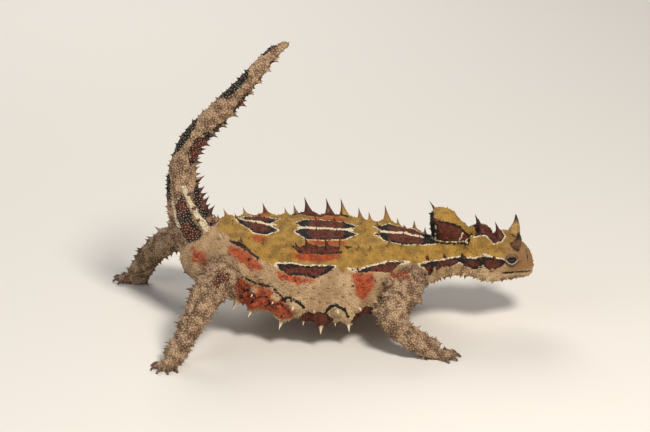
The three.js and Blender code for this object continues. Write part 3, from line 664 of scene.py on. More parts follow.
# Lines and their widths in mm
BLACK_LINES = [
    ([(-12.3, 93), (-11.1, 89), (-9.7, 87), (-7.7, 89), (-6, 97)], 0.85),
    ([(0.3, 102), (1.5, 92), (3.3, 89.5), (5.4, 98), (6.6, 113)], 0.85),
    ([(-26.4, 81), (-23.4, 80), (-19.4, 83), (-16.9, 81.5), (-14.9, 81.5), (-12.9, 87), (-11.1, 92)], 0.6),
    ([(-24.6, 88), (-23.4, 95), (-24.8, 103), (-22.8, 112)], 0.5),
    ([(-23.4, 95), (-20.2, 92), (-19.4, 100), (-20.8, 110)], 0.5),
    ([(-19.4, 99), (-16.4, 94), (-15.2, 102), (-17.0, 112)], 0.5),
    ([(-15.2, 101), (-12.4, 97), (-11.0, 106), (-12.4, 118)], 0.5),
]
# How far the pale line of the back lies to the left, as x and mm
MIDLINE = [
    (-34, 3.4), (-29, 3.9), (-25.4, 3.4), (-22.6, 2.6), (-19.7, 1.4), (-17, 0.4), (-7, -0.5), (4, 0.2),
    (15, 0.6), (22, 0.6), (31, 0), (59, 0),
]
PALE_LINE_RUNS = [(-27.0, -14.0), (-7.9, 8.2), (16.0, 31.0)]  # in x, along the midline
PALE_LINE = 0.75  # half its width

# Markings of the tail: outlines in millimetres along it and degrees from the side that faces the head
TAIL_MM = 0.058  # for each degree round the tail
TAIL_DARK = [
    [(18.5, 150), (20, 134), (25, 136), (26.5, 160), (26, 184), (18.5, 184)],
    [(31, 160), (33, 132), (35, 118), (38.5, 120), (42, 132), (43.5, 165), (43, 184), (31, 184)],
    [(51.5, 170), (53.5, 124), (58, 110), (62.5, 114), (64, 140), (63, 184), (51.5, 184)],
    [(69, 184), (69.5, 140), (71.5, 134), (74, 150), (74, 184)],
    [(30.5, -4), (30.4, 52), (33.5, 78), (38.4, 88), (42, 78), (43.2, 60), (42.8, -4)],
    [(44, -4), (44, 62), (46.4, 60), (48.8, 30), (48.6, -4)],
    [(51, -4), (51, 34), (54, 47), (57, 62), (58.8, 50), (58.4, -4)],
    [(61, -4), (61.5, 42), (64, 46), (65.4, -4)],
    [(68, -4), (68.4, 50), (71, 52), (72, -4)],
    [
        (3, 70), (4.6, 104), (9, 116), (14.8, 120), (19, 108), (21.4, 86), (17.4, 72), (12, 70), (9, 62),
        (4.5, 62),
    ],
    [(4.6, -4), (5.5, 32), (9, 40), (13.5, 44), (18, 48), (22.4, 36), (24.5, -4)],
]
TAIL_CORE = [
    [(32, -4), (32, 50), (34.5, 70), (38, 78), (40.8, 66), (41.6, -4)],
    [(45, -4), (45.2, 50), (47.2, 34), (47.4, -4)],
    [(52.4, -4), (53, 30), (56.6, 46), (57.2, -4)],
    [(4.4, 76), (6, 100), (9.4, 109), (13.4, 112), (12.6, 80), (9, 72)],
    [(15.4, 82), (15.6, 112), (18.2, 104), (20, 88), (17, 78)],
    [(7.5, -4), (8, 26), (11, 30), (11.4, -4)],
    [(14, -4), (14.4, 32), (17.4, 34), (18, -4)],
]
TAIL_PALE_LINES = [
    ([(23.5, 78), (21.5, 70), (17.8, 60), (13.3, 53), (9.2, 48), (3.4, 43), (0, 40)], 0.9),
    ([(19, 127), (15.2, 121), (12.3, 119)], 0.6),
]

# The knob's olive cap ends along a line in x and z
CAP_X = [30.0, 32.5, 35.7, 38.6, 40.3, 42.0]
CAP_Z = [32.6, 32.3, 31.6, 29.6, 27.8, 26.0]
KNOB_FOOT = 25.0
KNOB_REAR = 31.6
KNOB_FRONT = 38.8

# The mouth's line falls a little towards the snout
MOUTH_CORNER = 50.6
# The dark line along the mouth is painted shade in its groove
MOUTH_SHADE = 0.24  # half the width of the dark line along it
# The dark streak down from each nostril: its x, half its width, its foot and its top
STREAK_X, STREAK, STREAK_FOOT, STREAK_TOP = 57.9, 0.16, 19.6, 22.4

# Painted shade over the knees of the hind legs: dark red bands where the inner thigh lies in shade, as
# lines in the stations' frame
KNEE_SHADE_BANDS = [([-34.8, -25.6, 17.8], [-29.6, -22.4, 20.6]), ([-43.8, 24.8, 18.0], [-38.4, 22.8, 21.0])]
KNEE_SHADE_REACH = 2.4

OUTSIDE = -3.0  # the distance of what lies well outside a marking


def segment_distance(points, start, stop):
    """Distance of points to a straight line between two ends."""
    start, way = np.array(start), np.array(stop) - np.array(start)
    f = np.clip((points - start) @ way / (way @ way), 0, 1)
    return norms(points - start - f[:, None] * way)


def mouth_height(x):
    return 16.3 + 0.1 * (59.5 - x)


def place_of(points):
    """Body coordinates of points: x and arc on the trunk, nearest leg, and place along the tail."""
    away_trunk, degrees = trunk_place(points)
    found = {"trunk": away_trunk, "degrees": degrees, "x": points[:, 0]}
    shift = np.interp(points[:, 0], [p[0] for p in MIDLINE], [p[1] for p in MIDLINE])
    fade = np.clip(1 - np.abs(degrees) / 60, 0, 1)
    found["arc"] = arc_length(points[:, 0], degrees) + shift * fade
    found["tail"] = tail.nearest(points)
    leg = {name: limb.nearest(points) for name, limb in legs.items()}
    best = np.argmin(np.stack([leg[name][0] for name in leg]), axis=0)
    found["leg"] = tuple(np.choose(best, [leg[name][k] for name in leg]) for k in range(3))
    found["leg_index"] = best
    found["knob"] = knob_distance(points)
    found["cone"] = np.min([norms(points - root) for root in flank_roots], axis=0)
    return found


def knob_distance(points):
    """About 1 on the knob's surface, and less inside it."""
    return np.min([norms((points - centre) / radii) for centre, radii in KNOB_LOBES], axis=0)


def step(low, high, value):
    t = np.clip((value - low) / (high - low), 0, 1)
    return t * t * (3 - 2 * t)


def markings(points, found):
    """The fields that colour the skin, one number for each point, most of them signed distances in mm."""
    x, arc, z = found["x"], np.abs(found["arc"]), points[:, 2]
    tail_away, tail_t, tail_angle = found["tail"]
    leg_away, leg_t, _ = found["leg"]
    on_tail = step(-0.8, 0.8, found["trunk"] - tail_away) * step(0.03, 0.06, tail_t)
    on_leg = step(-1.0, 1.0, found["trunk"] - leg_away)
    on_knob = step(1.7, 1.6, found["knob"]) * step(24.5, 24.9, z)
    body = 1 - np.clip(on_tail + on_leg + on_knob, 0, 1)

    round_trunk = (x, arc, arc_length)
    rim = shape_distance(EDGED_SHAPES, *round_trunk)
    plain = shape_distance(PLAIN_SHAPES, *round_trunk)
    dark = np.max([line_distance(BLACK_LINES, *round_trunk), rim, plain], axis=0)
    core, fire = shape_distance(CORE_SHAPES, *round_trunk), shape_distance(FIRE_SHAPES, *round_trunk)
    olive = shape_distance([OLIVE_FIELD], *round_trunk)
    line = np.max([np.minimum(x - start, stop - x) for start, stop in PALE_LINE_RUNS], axis=0)
    line = np.minimum(PALE_LINE - arc, line)

    # The cones of the flank stay pale
    cone = step(1.8, 1.2, found["cone"])
    core, fire = mix(core, OUTSIDE, cone), mix(fire, OUTSIDE, cone)

    # The face: a dark line of painted shade along the mouth's groove, and a dark streak down from each
    # nostril
    face = (x > MOUTH_CORNER) & (np.abs(found["degrees"]) > 60)
    lips = np.where(face, MOUTH_SHADE - np.abs(z - mouth_height(x)), OUTSIDE)
    streak = STREAK - np.abs(x - STREAK_X + 0.12 * (z - 21))
    streak = np.min([streak, z - STREAK_FOOT, STREAK_TOP - z], axis=0)
    nostril = np.where(np.abs(points[:, 1]) > 1.2, streak, OUTSIDE)
    dark = np.max([dark, lips, nostril], axis=0)

    # The tail: pale, with dark bars below, red patches above, and two pale lines at its foot
    length = tail.reach(tail_t)
    turn = np.abs((tail_angle - upper_angle(tail_t) + 180) % 360 - 180) * TAIL_MM
    round_tail = (length, turn, lambda at, angle: angle * TAIL_MM)
    dark = mix(dark, shape_distance(TAIL_DARK, *round_tail), on_tail)
    core = mix(core, shape_distance(TAIL_CORE, *round_tail), on_tail)
    line = mix(line, line_distance(TAIL_PALE_LINES, *round_tail), on_tail)
    fire = mix(fire, OUTSIDE, on_tail)

    # The legs: pale, with a dark red band of painted shade over each hind knee
    knee_shade = np.max([KNEE_SHADE_REACH - segment_distance(points, *ends) for ends in KNEE_SHADE_BANDS], axis=0)
    dark = mix(dark, knee_shade, on_leg)
    core = mix(core, knee_shade - 0.1, on_leg)
    fire = mix(fire, np.where(leg_t < 0.2, fire, OUTSIDE), on_leg)
    line = mix(line, OUTSIDE, on_leg)
    pale = np.clip(on_leg + on_tail, 0, 1)
    olive = mix(olive, OUTSIDE, pale)

    # The knob: an olive cap, red-brown sides between black lines, and a black foot
    cap = z - np.interp(x, CAP_X, CAP_Z)
    sides = np.min([-0.75 - cap, z - KNOB_FOOT - 0.9, x - KNOB_REAR - 0.7], axis=0)
    foot_line = 0.2 - np.abs(z - KNOB_FOOT - 0.45)
    rear_line = np.minimum(0.1 - np.abs(x - KNOB_REAR), -0.8 - cap)
    front_line = 0.14 - np.abs(x - KNOB_FRONT - 0.5 * np.sin(1.4 * z))
    front_line = np.min([front_line, -0.8 - cap, z - 26], axis=0)
    dark = mix(dark, -cap, on_knob)
    core = mix(core, sides, on_knob)
    fire = mix(fire, OUTSIDE, on_knob)
    olive = mix(olive, cap + 0.3, on_knob)
    line = mix(line, np.max([foot_line, rear_line, front_line], axis=0), on_knob)
    rim = mix(OUTSIDE, rim, body)
    # Painted shade: the field fold darkens the skin in the creases where the legs join the trunk, on the
    # lower sides
    crease = np.abs(found["trunk"]) + np.abs(leg_away)
    return {
        "dark": dark, "core": core, "fire": fire, "olive": olive, "line": line, "rim": rim,
        "belly": step(122, 145, np.abs(found["degrees"])) * body,
        "head": step(49, 54, x) * body * step(16.8, 18.0, z),
        "pale": pale,
        "fold": np.exp(-((crease / 1.7) ** 2)) * step(45, 70, np.abs(found["degrees"])),
    }


def mix(a, b, share):
    return a * (1 - share) + b * share


def upper_angle(t):
    """The angle round the tail's curve of the side that faces the head."""
    tangent, side, up = tail.frame(t)
    facing = unit(np.stack([tangent[..., 2], 0 * tangent[..., 0], -tangent[..., 0]], axis=-1))
    return np.degrees(np.arctan2(np.sum(facing * up, axis=-1), np.sum(facing * side, axis=-1)))


def unwrap_of(found):
    """Places of points on an unwrap of the skin: the trunk, the tail and each leg as strips."""
    u = 0.03 + 0.62 * (found["x"] - TRUNK[0, 0]) / (TRUNK[-1, 0] - TRUNK[0, 0])
    v = 0.03 + 0.5 * (found["degrees"] + 180) / 360
    uv = np.stack([u, v], axis=1)
    away, t, angle = found["tail"]
    on_tail = away < found["trunk"]
    uv[on_tail] = np.stack([0.03 + 0.62 * t, 0.57 + 0.12 * angle / 360], axis=1)[on_tail]
    away, t, angle = found["leg"]
    on_leg = (away < found["trunk"]) & ~on_tail
    row, column = found["leg_index"] // 2, found["leg_index"] % 2
    strip = np.stack([0.03 + 0.33 * column + 0.29 * t, 0.72 + 0.13 * row + 0.1 * angle / 360], axis=1)
    uv[on_leg] = strip[on_leg]
    on_knob = (found["knob"] < 1.2) & (found["trunk"] > 0.2)
    knob = np.stack([0.8 + 0.02 * (found["x"] - KNOB_AT[0]), 0.2 + 0.004 * found["degrees"]], axis=1)
    uv[on_knob] = np.clip(knob, 0.03, 0.97)[on_knob]
    return uv


# Thorns

TONE_REACH = 1.4  # how far out from a thorn's foot its colours are taken, in its own radii
STRAY_DEGREES, STRAY_X, STRAY_LENGTH = 1.6, 0.4, 0.07  # how far thorns stray from their rows
# How far they keep from other parts of the body
TIP_CLEAR, ROOT_CLEAR, TRUNK_CLEAR = 0.7, 0.4, 1.2
# Width and height of the skin's mounds, for each mm of a thorn, and what the lower flank adds to them
MOUND_WIDTH, MOUND_RISE = 0.5, 0.32
FLANK_WIDTH, FLANK_RISE = -0.16, 0.3


def thorn_template(heights, widths, sides):
    """A unit thorn along +Z: its points, its triangles, and each point's share of the height."""
    angle = np.arange(sides) * 2 * math.pi / sides
    ring = np.stack([np.cos(angle), np.sin(angle), 0 * angle], axis=1)
    points = [ring * w + [0, 0, h] for h, w in zip(heights, widths)]
    k = np.arange(sides)
    n = (k + 1) % sides
    faces = []
    for r in range(len(heights) - 1):
        a, b, c, d = r * sides + k, r * sides + n, (r + 1) * sides + k, (r + 1) * sides + n
        faces += [np.stack([a, b, c], 1), np.stack([b, d, c], 1)]
    top = (len(heights) - 1) * sides
    tip = len(heights) * sides
    faces.append(np.stack([top + k, top + n, 0 * k + tip], 1))
    share = np.append(np.repeat(np.clip(heights, 0, 1), sides), 1.0)
    return np.vstack(points + [[[0, 0, 1.0]]]), np.vstack(faces), share


BIG_HEIGHTS = [-0.14, 0.0, 0.07, 0.15, 0.25, 0.37, 0.5, 0.65, 0.8, 0.92]
BIG = thorn_template(BIG_HEIGHTS, [1.06, 1.0, 0.87, 0.72, 0.56, 0.41, 0.28, 0.165, 0.085, 0.035], 10)
SMALL = thorn_template([-0.2, 0.08, 0.34, 0.68], [1.05, 0.92, 0.5, 0.18], 6)
GRAIN = thorn_template([-1.6, 0.3, 0.8], [1.05, 0.9, 0.5], 8)


def scatter(name, template, roots, axes, lengths, widths, bends, found):
    """One mesh of many thorns, each a copy of the template on its root, with its root's markings."""
    unit_points, unit_faces, share = template
    axes = unit(axes)
    helper = np.where(np.abs(axes[:, 2:3]) < 0.9, [[0, 0, 1.0]], [[1.0, 0, 0]])
    across = unit(np.cross(helper, axes))
    other = np.cross(axes, across)
    turn = rng.uniform(0, 2 * math.pi, len(roots))[:, None]
    c, s = np.cos(turn), np.sin(turn)
    across, other = across * c + other * s, other * c - across * s
    local = unit_points[None, :, :]
    points = (
        roots[:, None, :]
        + across[:, None, :] * local[..., 0:1] * widths[:, None, None]
        + other[:, None, :] * local[..., 1:2] * widths[:, None, None]
        + axes[:, None, :] * local[..., 2:3] * lengths[:, None, None]
        + bends[:, None, :] * (np.clip(local[..., 2:3], 0, 1) ** 2) * lengths[:, None, None]
    )
    points[..., 2] = np.maximum(points[..., 2], 0.05)
    count = len(unit_points)
    faces = (unit_faces[None] + (np.arange(len(roots)) * count)[:, None, None]).reshape(-1, 3)
    made = mesh_object(name, points.reshape(-1, 3), faces)
    if template is BIG:
        aside = unit(local[..., :2]) * widths[:, None, None] * TONE_REACH
        places = roots[:, None] + across[:, None] * aside[..., 0:1] + other[:, None] * aside[..., 1:2]
        fields = thorn_fields(places.reshape(-1, 3))
    else:
        fields = {key: np.repeat(values, count) for key, values in markings(roots, found).items()}
    for key, values in fields.items():
        add_field(made, key, values)
    add_field(made, "tip", np.tile(share, len(roots)))
    patch = unwrap_of(found)[:, None, :] + 0.0015 * unit_points[None, :, :2] * (1 - share[None, :, None])
    add_unwrap(made, patch.reshape(-1, 2))
    return made


def thorn_fields(places):
    """Markings of large thorns, whose sides take the colours of the skin beside them."""
    found = place_of(places)
    fields = markings(places, found)
    flank = step(78, 86, np.abs(found["degrees"])) * step(26, 24, places[:, 0]) * (1 - fields["pale"])
    for key in ("dark", "core", "fire"):
        fields[key] = mix(fields[key], OUTSIDE, flank)
    red = fields["fire"] > -0.2
    fields["dark"] = np.where(red, np.maximum(fields["dark"], 0.5), fields["dark"])
    fields["core"] = np.where(fields["dark"] > -0.1, np.maximum(fields["core"], 0.4), fields["core"])
    crown = (places[:, 0] > 43) & (np.abs(found["degrees"]) < 40) & (fields["pale"] < 0.5)
    for key, value in (("dark", 0.5), ("core", 0.4), ("olive", OUTSIDE), ("head", 0.0)):
        fields[key] = np.where(crown, value, fields[key])
    fields["rim"] = fields["line"] = np.full(len(places), OUTSIDE)
    return fields


def add_field(made, key, values):
    field = made.data.attributes.new(key, "FLOAT", "POINT")
    field.data.foreach_set("value", np.asarray(values, dtype=np.float32))


def add_unwrap(made, uv):
    corners = np.empty(len(made.data.loops), int)
    made.data.loops.foreach_get("vertex_index", corners)
    layer = made.data.uv_layers.new(name="OFBake")
    layer.data.foreach_set("uv", uv[corners].astype(np.float32).ravel())


def trunk_thorns(rows):
    """Roots, axes and lengths of the large thorns in rows, on both sides."""
    roots, axes, lengths = [], [], []
    for angle, places in rows.items():
        for side in (1, -1):
            for i, (x, length) in enumerate(places):
                sway = math.sin(12.9 * i + 3.7 * angle + side)
                degrees = 90 - side * (angle + STRAY_DEGREES * sway)
                at = x + STRAY_X * math.sin(7.1 * i + angle - 2 * side)
                root = trunk_point(at, degrees)
                axis = trunk_normal(at, degrees) + [LEAN_BACK, 0, LIFT]
                if angle in FLANK_ROWS:
                    axis = axis + FLANK_TURN
                roots.append(root)
                axes.append(unit(axis))
                lengths.append(length * (1 + STRAY_LENGTH * sway) * ROW_LENGTHS.get(angle, 1.0))
    return np.array(roots), np.array(axes), np.array(lengths)


def distance_to_limbs(points):
    return np.min([limb.nearest(points)[0] for limb in (tail, *legs.values())], axis=0)


def limb_thorns(limb, rings, around, size, low, high):
    """Thorns round a limb in staggered rings."""
    roots, axes, lengths = [], [], []
    for i in range(rings):
        t = low + (high - low) * i / (rings - 1)
        degrees = (np.arange(around) + 0.5 * (i % 2)) * 360 / around + rng.uniform(-9, 9, around)
        shares = np.clip(t + rng.uniform(-0.3, 0.3, around) * (high - low) / rings, 0, 1)
        points, out, tangent = limb.skin(shares, degrees)
        roots.append(points)
        axes.append(unit(out + 0.42 * tangent))
        lengths.append(size(shares, out) * rng.uniform(0.8, 1.2, around))
    return np.vstack(roots), np.vstack(axes), np.concatenate(lengths)


def leg_size(t, out):
    """Long on the edges of a leg, short on its smooth outer side and below."""
    below = np.where(out[:, 2] < -0.4, 0.55, 1.0)
    return (2.6 - 1.3 * t) * below * (1 - 0.6 * step(0.3, 0.8, np.abs(out[:, 1])))


def tail_thorns():
    """Rows along the tail, longest beside the line that faces the head."""
    roots, axes, lengths = [], [], []
    for row, (angle, scale) in enumerate([(24, 1.0), (62, 0.66), (104, 0.5), (150, 0.36)]):
        for side in (1, -1):
            at = np.arange(7.0 + 2.0 * (row % 2), 74.0, 4.0) + rng.uniform(-0.4, 0.4, 17)
            t = np.interp(at, tail.lengths, np.linspace(0, 1, len(tail.lengths)))
            degrees = upper_angle(t) + side * angle + rng.uniform(-6, 6, len(t))
            points, out, tangent = tail.skin(t, degrees)
            roots.append(points)
            axes.append(unit(out + 0.3 * tangent))
            longest = np.interp(at, [0, 45, 76], [4.0, 3.0, 1.4])
            lengths.append(scale * longest * rng.uniform(0.85, 1.15, len(t)))
    return np.vstack(roots), np.vstack(axes), np.concatenate(lengths)


def knob_thorns():
    roots, axes, lengths = [], [], []
    for side in (1, -1):
        out = unit(np.array([-0.42, side * 0.72, 0.55]))
        roots.append(KNOB_AT + out * 4.4)
        axes.append(out)
        lengths.append(5.6)
    return np.array(roots), np.array(axes), np.array(lengths)


def large_thorns():
    """All the large thorns, less those that would meet another part of the body."""
    groups = []
    for rows in (THORN_ROWS, NECK_ROWS, HEAD_ROWS):
        roots, axes, lengths = trunk_thorns(rows)
        tips = roots + axes * lengths[:, None]
        keep = (distance_to_limbs(tips) > TIP_CLEAR) & (distance_to_limbs(roots) > ROOT_CLEAR)
        keep &= tips[:, 2] > 1
        if rows is not THORN_ROWS:
            keep &= knob_distance(tips) > 1.35
            keep &= norms(np.abs(tips) - EYE_AT) > 3.2
        groups.append((roots[keep], axes[keep], lengths[keep]))
    for name, limb in legs.items():
        roots, axes, lengths = limb_thorns(limb, rings=12, around=7, size=leg_size, low=0.2, high=0.9)
        tips = roots + axes * lengths[:, None]
        keep = (trunk_place(tips)[0] > TRUNK_CLEAR) & (trunk_place(roots)[0] > ROOT_CLEAR)
        keep &= tips[:, 2] > 0.8
        for other, limb_2 in (("tail", tail), *legs.items()):
            if other != name:
                keep &= limb_2.nearest(tips)[0] > TIP_CLEAR
        groups.append((roots[keep], axes[keep], lengths[keep]))
    roots, axes, lengths = tail_thorns()
    tips = roots + axes * lengths[:, None]
    keep = (trunk_place(tips)[0] > TRUNK_CLEAR) & (trunk_place(roots)[0] > 0.2)
    groups.append((roots[keep], axes[keep], lengths[keep]))
    groups.append(knob_thorns())
    return tuple(np.concatenate([group[k] for group in groups]) for k in range(3))


def raise_mounds(points, normals, roots, axes, lengths):
    """Draws the skin out along each large thorn, so that it grows from a mound."""
    lift = np.zeros(len(points))
    move = np.zeros_like(points)
    flank = low_flank(roots)
    for root, axis, length, low in zip(roots, axes, lengths, flank):
        width = (MOUND_WIDTH + FLANK_WIDTH * low) * length + 0.55
        near = np.abs(points - root).max(axis=1) < 2.4 * width
        away = norms(points[near] - root) / width
        rise = (MOUND_RISE + FLANK_RISE * low) * length * np.exp(-1.2 * away**2)
        higher = rise > lift[near]
        index = np.flatnonzero(near)[higher]
        lift[index] = rise[higher]
        way = unit(normals[index] * (1 - 0.7 * low) + axis * (0.3 + 0.7 * low))
        move[index] = way * rise[higher][:, None]
    return points + move


def low_flank(roots):
    """1 for roots on the lower flank, where the thorns are broad and point down, and 0 elsewhere."""
    away, degrees = trunk_place(roots)
    return step(76, 92, np.abs(degrees)) * step(0.6, 0.3, away) * step(27, 25, roots[:, 0])


def wave(points, size, shift=0.0):
    """A cheap smooth noise of about that size, from crossed sines."""
    p = points / size
    return (
        np.sin(p @ [2.1, 1.3, -0.7] + shift) * np.sin(p @ [-0.9, 2.3, 1.1] + 1.7 * shift)
        + np.sin(p @ [1.2, -1.9, 2.2] + 2.9 * shift) * np.sin(p @ [2.7, 0.8, 1.6] - shift)
    ) / 2


def face_forms(points, normals):
    """The line of the mouth, the lips, the fold along each flank, the nostrils and the ears."""
    x, y, z = points.T
    on_face = step(50.0, 51.2, x) * (z < 20)
    mouth = z - mouth_height(x)
    groove = 0.7 * on_face * np.exp(-((np.where(on_face > 0, mouth, 9) / 0.36) ** 2))
    points = points - normals * groove[:, None]
    lip = np.exp(-(((mouth - 0.9) / 0.6) ** 2)) + 0.7 * np.exp(-(((mouth + 0.9) / 0.6) ** 2))
    points = points + normals * (0.22 * lip * on_face)[:, None]
    degrees = np.abs(trunk_place(points)[1])
    fold = np.exp(-(((degrees - 112) / 15) ** 2)) * step(-27, -19, x) * step(18, 10, x) * (np.abs(y) < 25)
    points = points + (normals * [0.6, 1, 1] + [0, 0, -0.5]) * (0.9 * fold)[:, None]
    for side in (1, -1):
        for centre, radii, depth, fall in HOLES:
            away = norms((points - np.multiply(centre, [1, side, 1])) / radii)
            points = points - normals * (depth * np.exp(-(away**2) * fall))[:, None]
    return points


def build_skin():
    """The skin with its mounds and folds, its points and its quads."""
    points, quads, edges = remeshed(*skin_core())
    trunk_away, _ = trunk_place(points)
    limb_away = distance_to_limbs(points)
    crease = np.exp(-((np.abs(trunk_away) + np.abs(limb_away)) / 2.2) ** 2) * (points[:, 0] < 45)
    head = step(50, 52, points[:, 0])
    points = relax(points, edges, 0.5 * (1 - 0.7 * head), 3)
    points = relax(points, edges, 0.6 * crease, 26)
    normals = normals_of(points, quads)
    points = raise_mounds(points, normals, large_roots, large_axes, large_lengths)
    points = relax(points, edges, 0.4, 2)
    normals = normals_of(points, quads)
    leg_away = np.min([limb.nearest(points)[0] for limb in legs.values()], axis=0)
    on_leg = step(1.5, 0.5, leg_away) * step(-0.5, 0.8, trunk_place(points)[0])
    rough = 0.16 * wave(points, 2.6) + 0.1 * wave(points, 1.2, 1.0) + 0.5 * on_leg * wave(points, 2.8, 2.0)
    points = points + normals * (rough * (1 - 0.6 * head))[:, None]
    points = face_forms(points, normals)
    points[:, 2] = np.maximum(points[:, 2], 0.0)
    skin = mesh_object("skin", points, quads)
    for key, values in markings(points, place_of(points)).items():
        add_field(skin, key, values)
    add_field(skin, "tip", np.zeros(len(points)))
    return skin, points, quads


def surface_sample(points, quads, count):
    """Random places spread evenly over the skin, with normals."""
    corner = points[quads]
    flat = np.cross(corner[:, 2] - corner[:, 0], corner[:, 3] - corner[:, 1]) / 2
    area = norms(flat)
    chosen = rng.choice(len(quads), count, p=area / area.sum())
    u, v = rng.uniform(0, 1, (2, count, 1))
    c = corner[chosen]
    places = (c[:, 0] * (1 - u) + c[:, 1] * u) * (1 - v) + (c[:, 3] * (1 - u) + c[:, 2] * u) * v
    return places, unit(normals_of(points, quads)[quads[chosen]].mean(axis=1))


def spread(places, spacing):
    """Indices of places kept so that no two are closer than their spacing."""
    cell = float(np.max(spacing))
    keys = [tuple(key) for key in np.floor(places / cell).astype(int).tolist()]
    spots = places.tolist()
    gaps = spacing.tolist()
    steps = [(i, j, k) for i in (-1, 0, 1) for j in (-1, 0, 1) for k in (-1, 0, 1)]
    kept, grid = [], {}
    for index, (kx, ky, kz) in enumerate(keys):
        x, y, z = spots[index]
        gap = gaps[index] ** 2
        near = (other for i, j, k in steps for other in grid.get((kx + i, ky + j, kz + k), ()))
        if all((x - a) ** 2 + (y - b) ** 2 + (z - c) ** 2 >= gap for a, b, c in near):
            kept.append(index)
            grid.setdefault((kx, ky, kz), []).append((x, y, z))
    return np.array(kept)


def select(found, index):
    """The body coordinates of some of the points."""
    pick = lambda value: tuple(v[index] for v in value) if isinstance(value, tuple) else value[index]
    return {key: pick(value) for key, value in found.items()}


# Lids, eyes, horns and claws

EYE_RINGS, EYE_SIDES = 33, 48
HORN_RINGS, HORN_SIDES = 34, 20


def eye_axes(side):
    """The way that an eye looks, the line along its slit, and the way across the slit."""
    outward = unit(np.array([0.1, side, 0.1]))
    along = unit(np.cross([0, 0, 1.0], outward)) * side
    return outward, along, np.cross(along, outward) * -side


def lid_mesh(side, upper):
    """One lid: a shell round the eye with a rolled edge along the slit and folds behind it."""
    outward, along, up = eye_axes(side)
    middle = EYE_AT * [1, side, 1]
    turn = np.linspace(-1.5, 1.5, 41)[:, None]
    back = np.linspace(0, 1, 22)[None, :]
    slit = 0.5 if upper else 0.52
    edge = slit * np.cos(np.clip(2.0 * turn, -1.57, 1.57)) ** 0.8
    lift = edge + (1.5 - edge) * back
    folds = 0.07 * np.sin(back * 26) * step(0.08, 0.25, back) * step(1.0, 0.6, back)
    roll = 0.12 * np.exp(-(((back - 0.07) / 0.06) ** 2)) - 0.14 * np.exp(-((back / 0.03) ** 2))
    reach = EYE_RADIUS + 0.34 + folds + roll - 0.25 * back**2
    flip = 1 if upper else -1
    direction = (
        outward * (np.cos(lift) * np.cos(turn))[..., None]
        + along * (np.cos(lift) * np.sin(turn))[..., None]
        + up * (flip * np.sin(lift) + 0 * turn)[..., None]
    )
    points = middle + unit(direction) * reach[..., None]
    rows, columns = points.shape[:2]
    index = np.arange(rows * columns).reshape(rows, columns)
    a, b, c, d = index[:-1, :-1], index[:-1, 1:], index[1:, 1:], index[1:, :-1]
    faces = np.stack([a, b, c, d], axis=-1).reshape(-1, 4)
    pale = np.broadcast_to(np.exp(-((back / 0.055) ** 2)), (rows, columns)).ravel()
    return points.reshape(-1, 3), faces, pale


def build_lids():
    points, faces, pales, start = [], [], [], 0
    for side in (1, -1):
        for upper in (True, False):
            p, f, pale = lid_mesh(side, upper)
            points.append(p)
            faces.append(f + start)
            pales.append(pale * (0.2 if upper else 1.0))
            start += len(p)
    made = mesh_object("lids", np.vstack(points), np.vstack(faces))
    thick = made.modifiers.new("thickness", "SOLIDIFY")
    thick.thickness = 0.22 * MM
    thick.offset = -1
    add_field(made, "rim", np.concatenate(pales))
    return made


def build_eye(name, side):
    outward, along, up = eye_axes(side)
    polar = np.linspace(0.02, math.pi - 0.02, EYE_RINGS)[:, None]
    around = np.arange(EYE_SIDES) * 2 * math.pi / EYE_SIDES
    spread_out = np.sin(polar)
    points = EYE_AT * [1, side, 1] + EYE_RADIUS * (
        along * (spread_out * np.cos(around))[..., None]
        + up * (spread_out * np.sin(around))[..., None]
        + outward * (np.cos(polar) + 0 * around)[..., None]
    )
    made = mesh_object(name, *loft(points))
    add_field(made, "ring", np.append(np.repeat(polar[:, 0], EYE_SIDES), [0.0, math.pi]))
    return made


def build_horn(name, side):
    """A curved cone with rings of low scales at its foot."""
    flip = np.array([1, side, 1])
    shares = np.linspace(0, 1, HORN_RINGS)
    widths = np.interp(shares, HORN_SHARES, HORN_WIDTHS)
    line = HORN_FROM * flip + (HORN_TO - HORN_FROM) * flip * shares[:, None]
    line = line + HORN_BOW * flip * (4 * shares * (1 - shares))[:, None]
    tangent = unit(np.gradient(line, axis=0))
    across = unit(np.cross(tangent, [1.0, 0, 0]))
    other = np.cross(tangent, across)
    angle = np.arange(HORN_SIDES) * 2 * math.pi / HORN_SIDES
    rows = np.cos(shares * 40)[:, None]
    scales = 0.05 * np.sin(5 * angle)[None, :] * rows * step(0.9, 0.2, shares)[:, None]
    spokes = across[:, None] * np.cos(angle)[:, None] + other[:, None] * np.sin(angle)[:, None]
    rings = line[:, None] + spokes * (widths[:, None] * (1 + scales))[..., None]
    made = mesh_object(name, *loft(rings))
    add_field(made, "tip", np.append(np.repeat(shares, HORN_SIDES), [0.0, 1.0]))
    add_field(made, "outer", np.append(side * spokes[..., 1], [0.0, 0.0]))
    return made


def build_claws():
    parts = [tube(claw, 12, 10) for name in LEGS for claw in toes_of[name][1]]
    points, faces = gather(parts)
    points[:, 2] = np.maximum(points[:, 2], 0.05)
    return mesh_object("claws", points, faces)


# Materials

def shade(red, green, blue):
    """A colour given as it looks on a screen, from 0 to 255, as the shader's linear numbers."""
    linear = [((v / 255 + 0.055) / 1.055) ** 2.4 if v > 10 else v / 3294.6 for v in (red, green, blue)]
    return (*linear, 1.0)


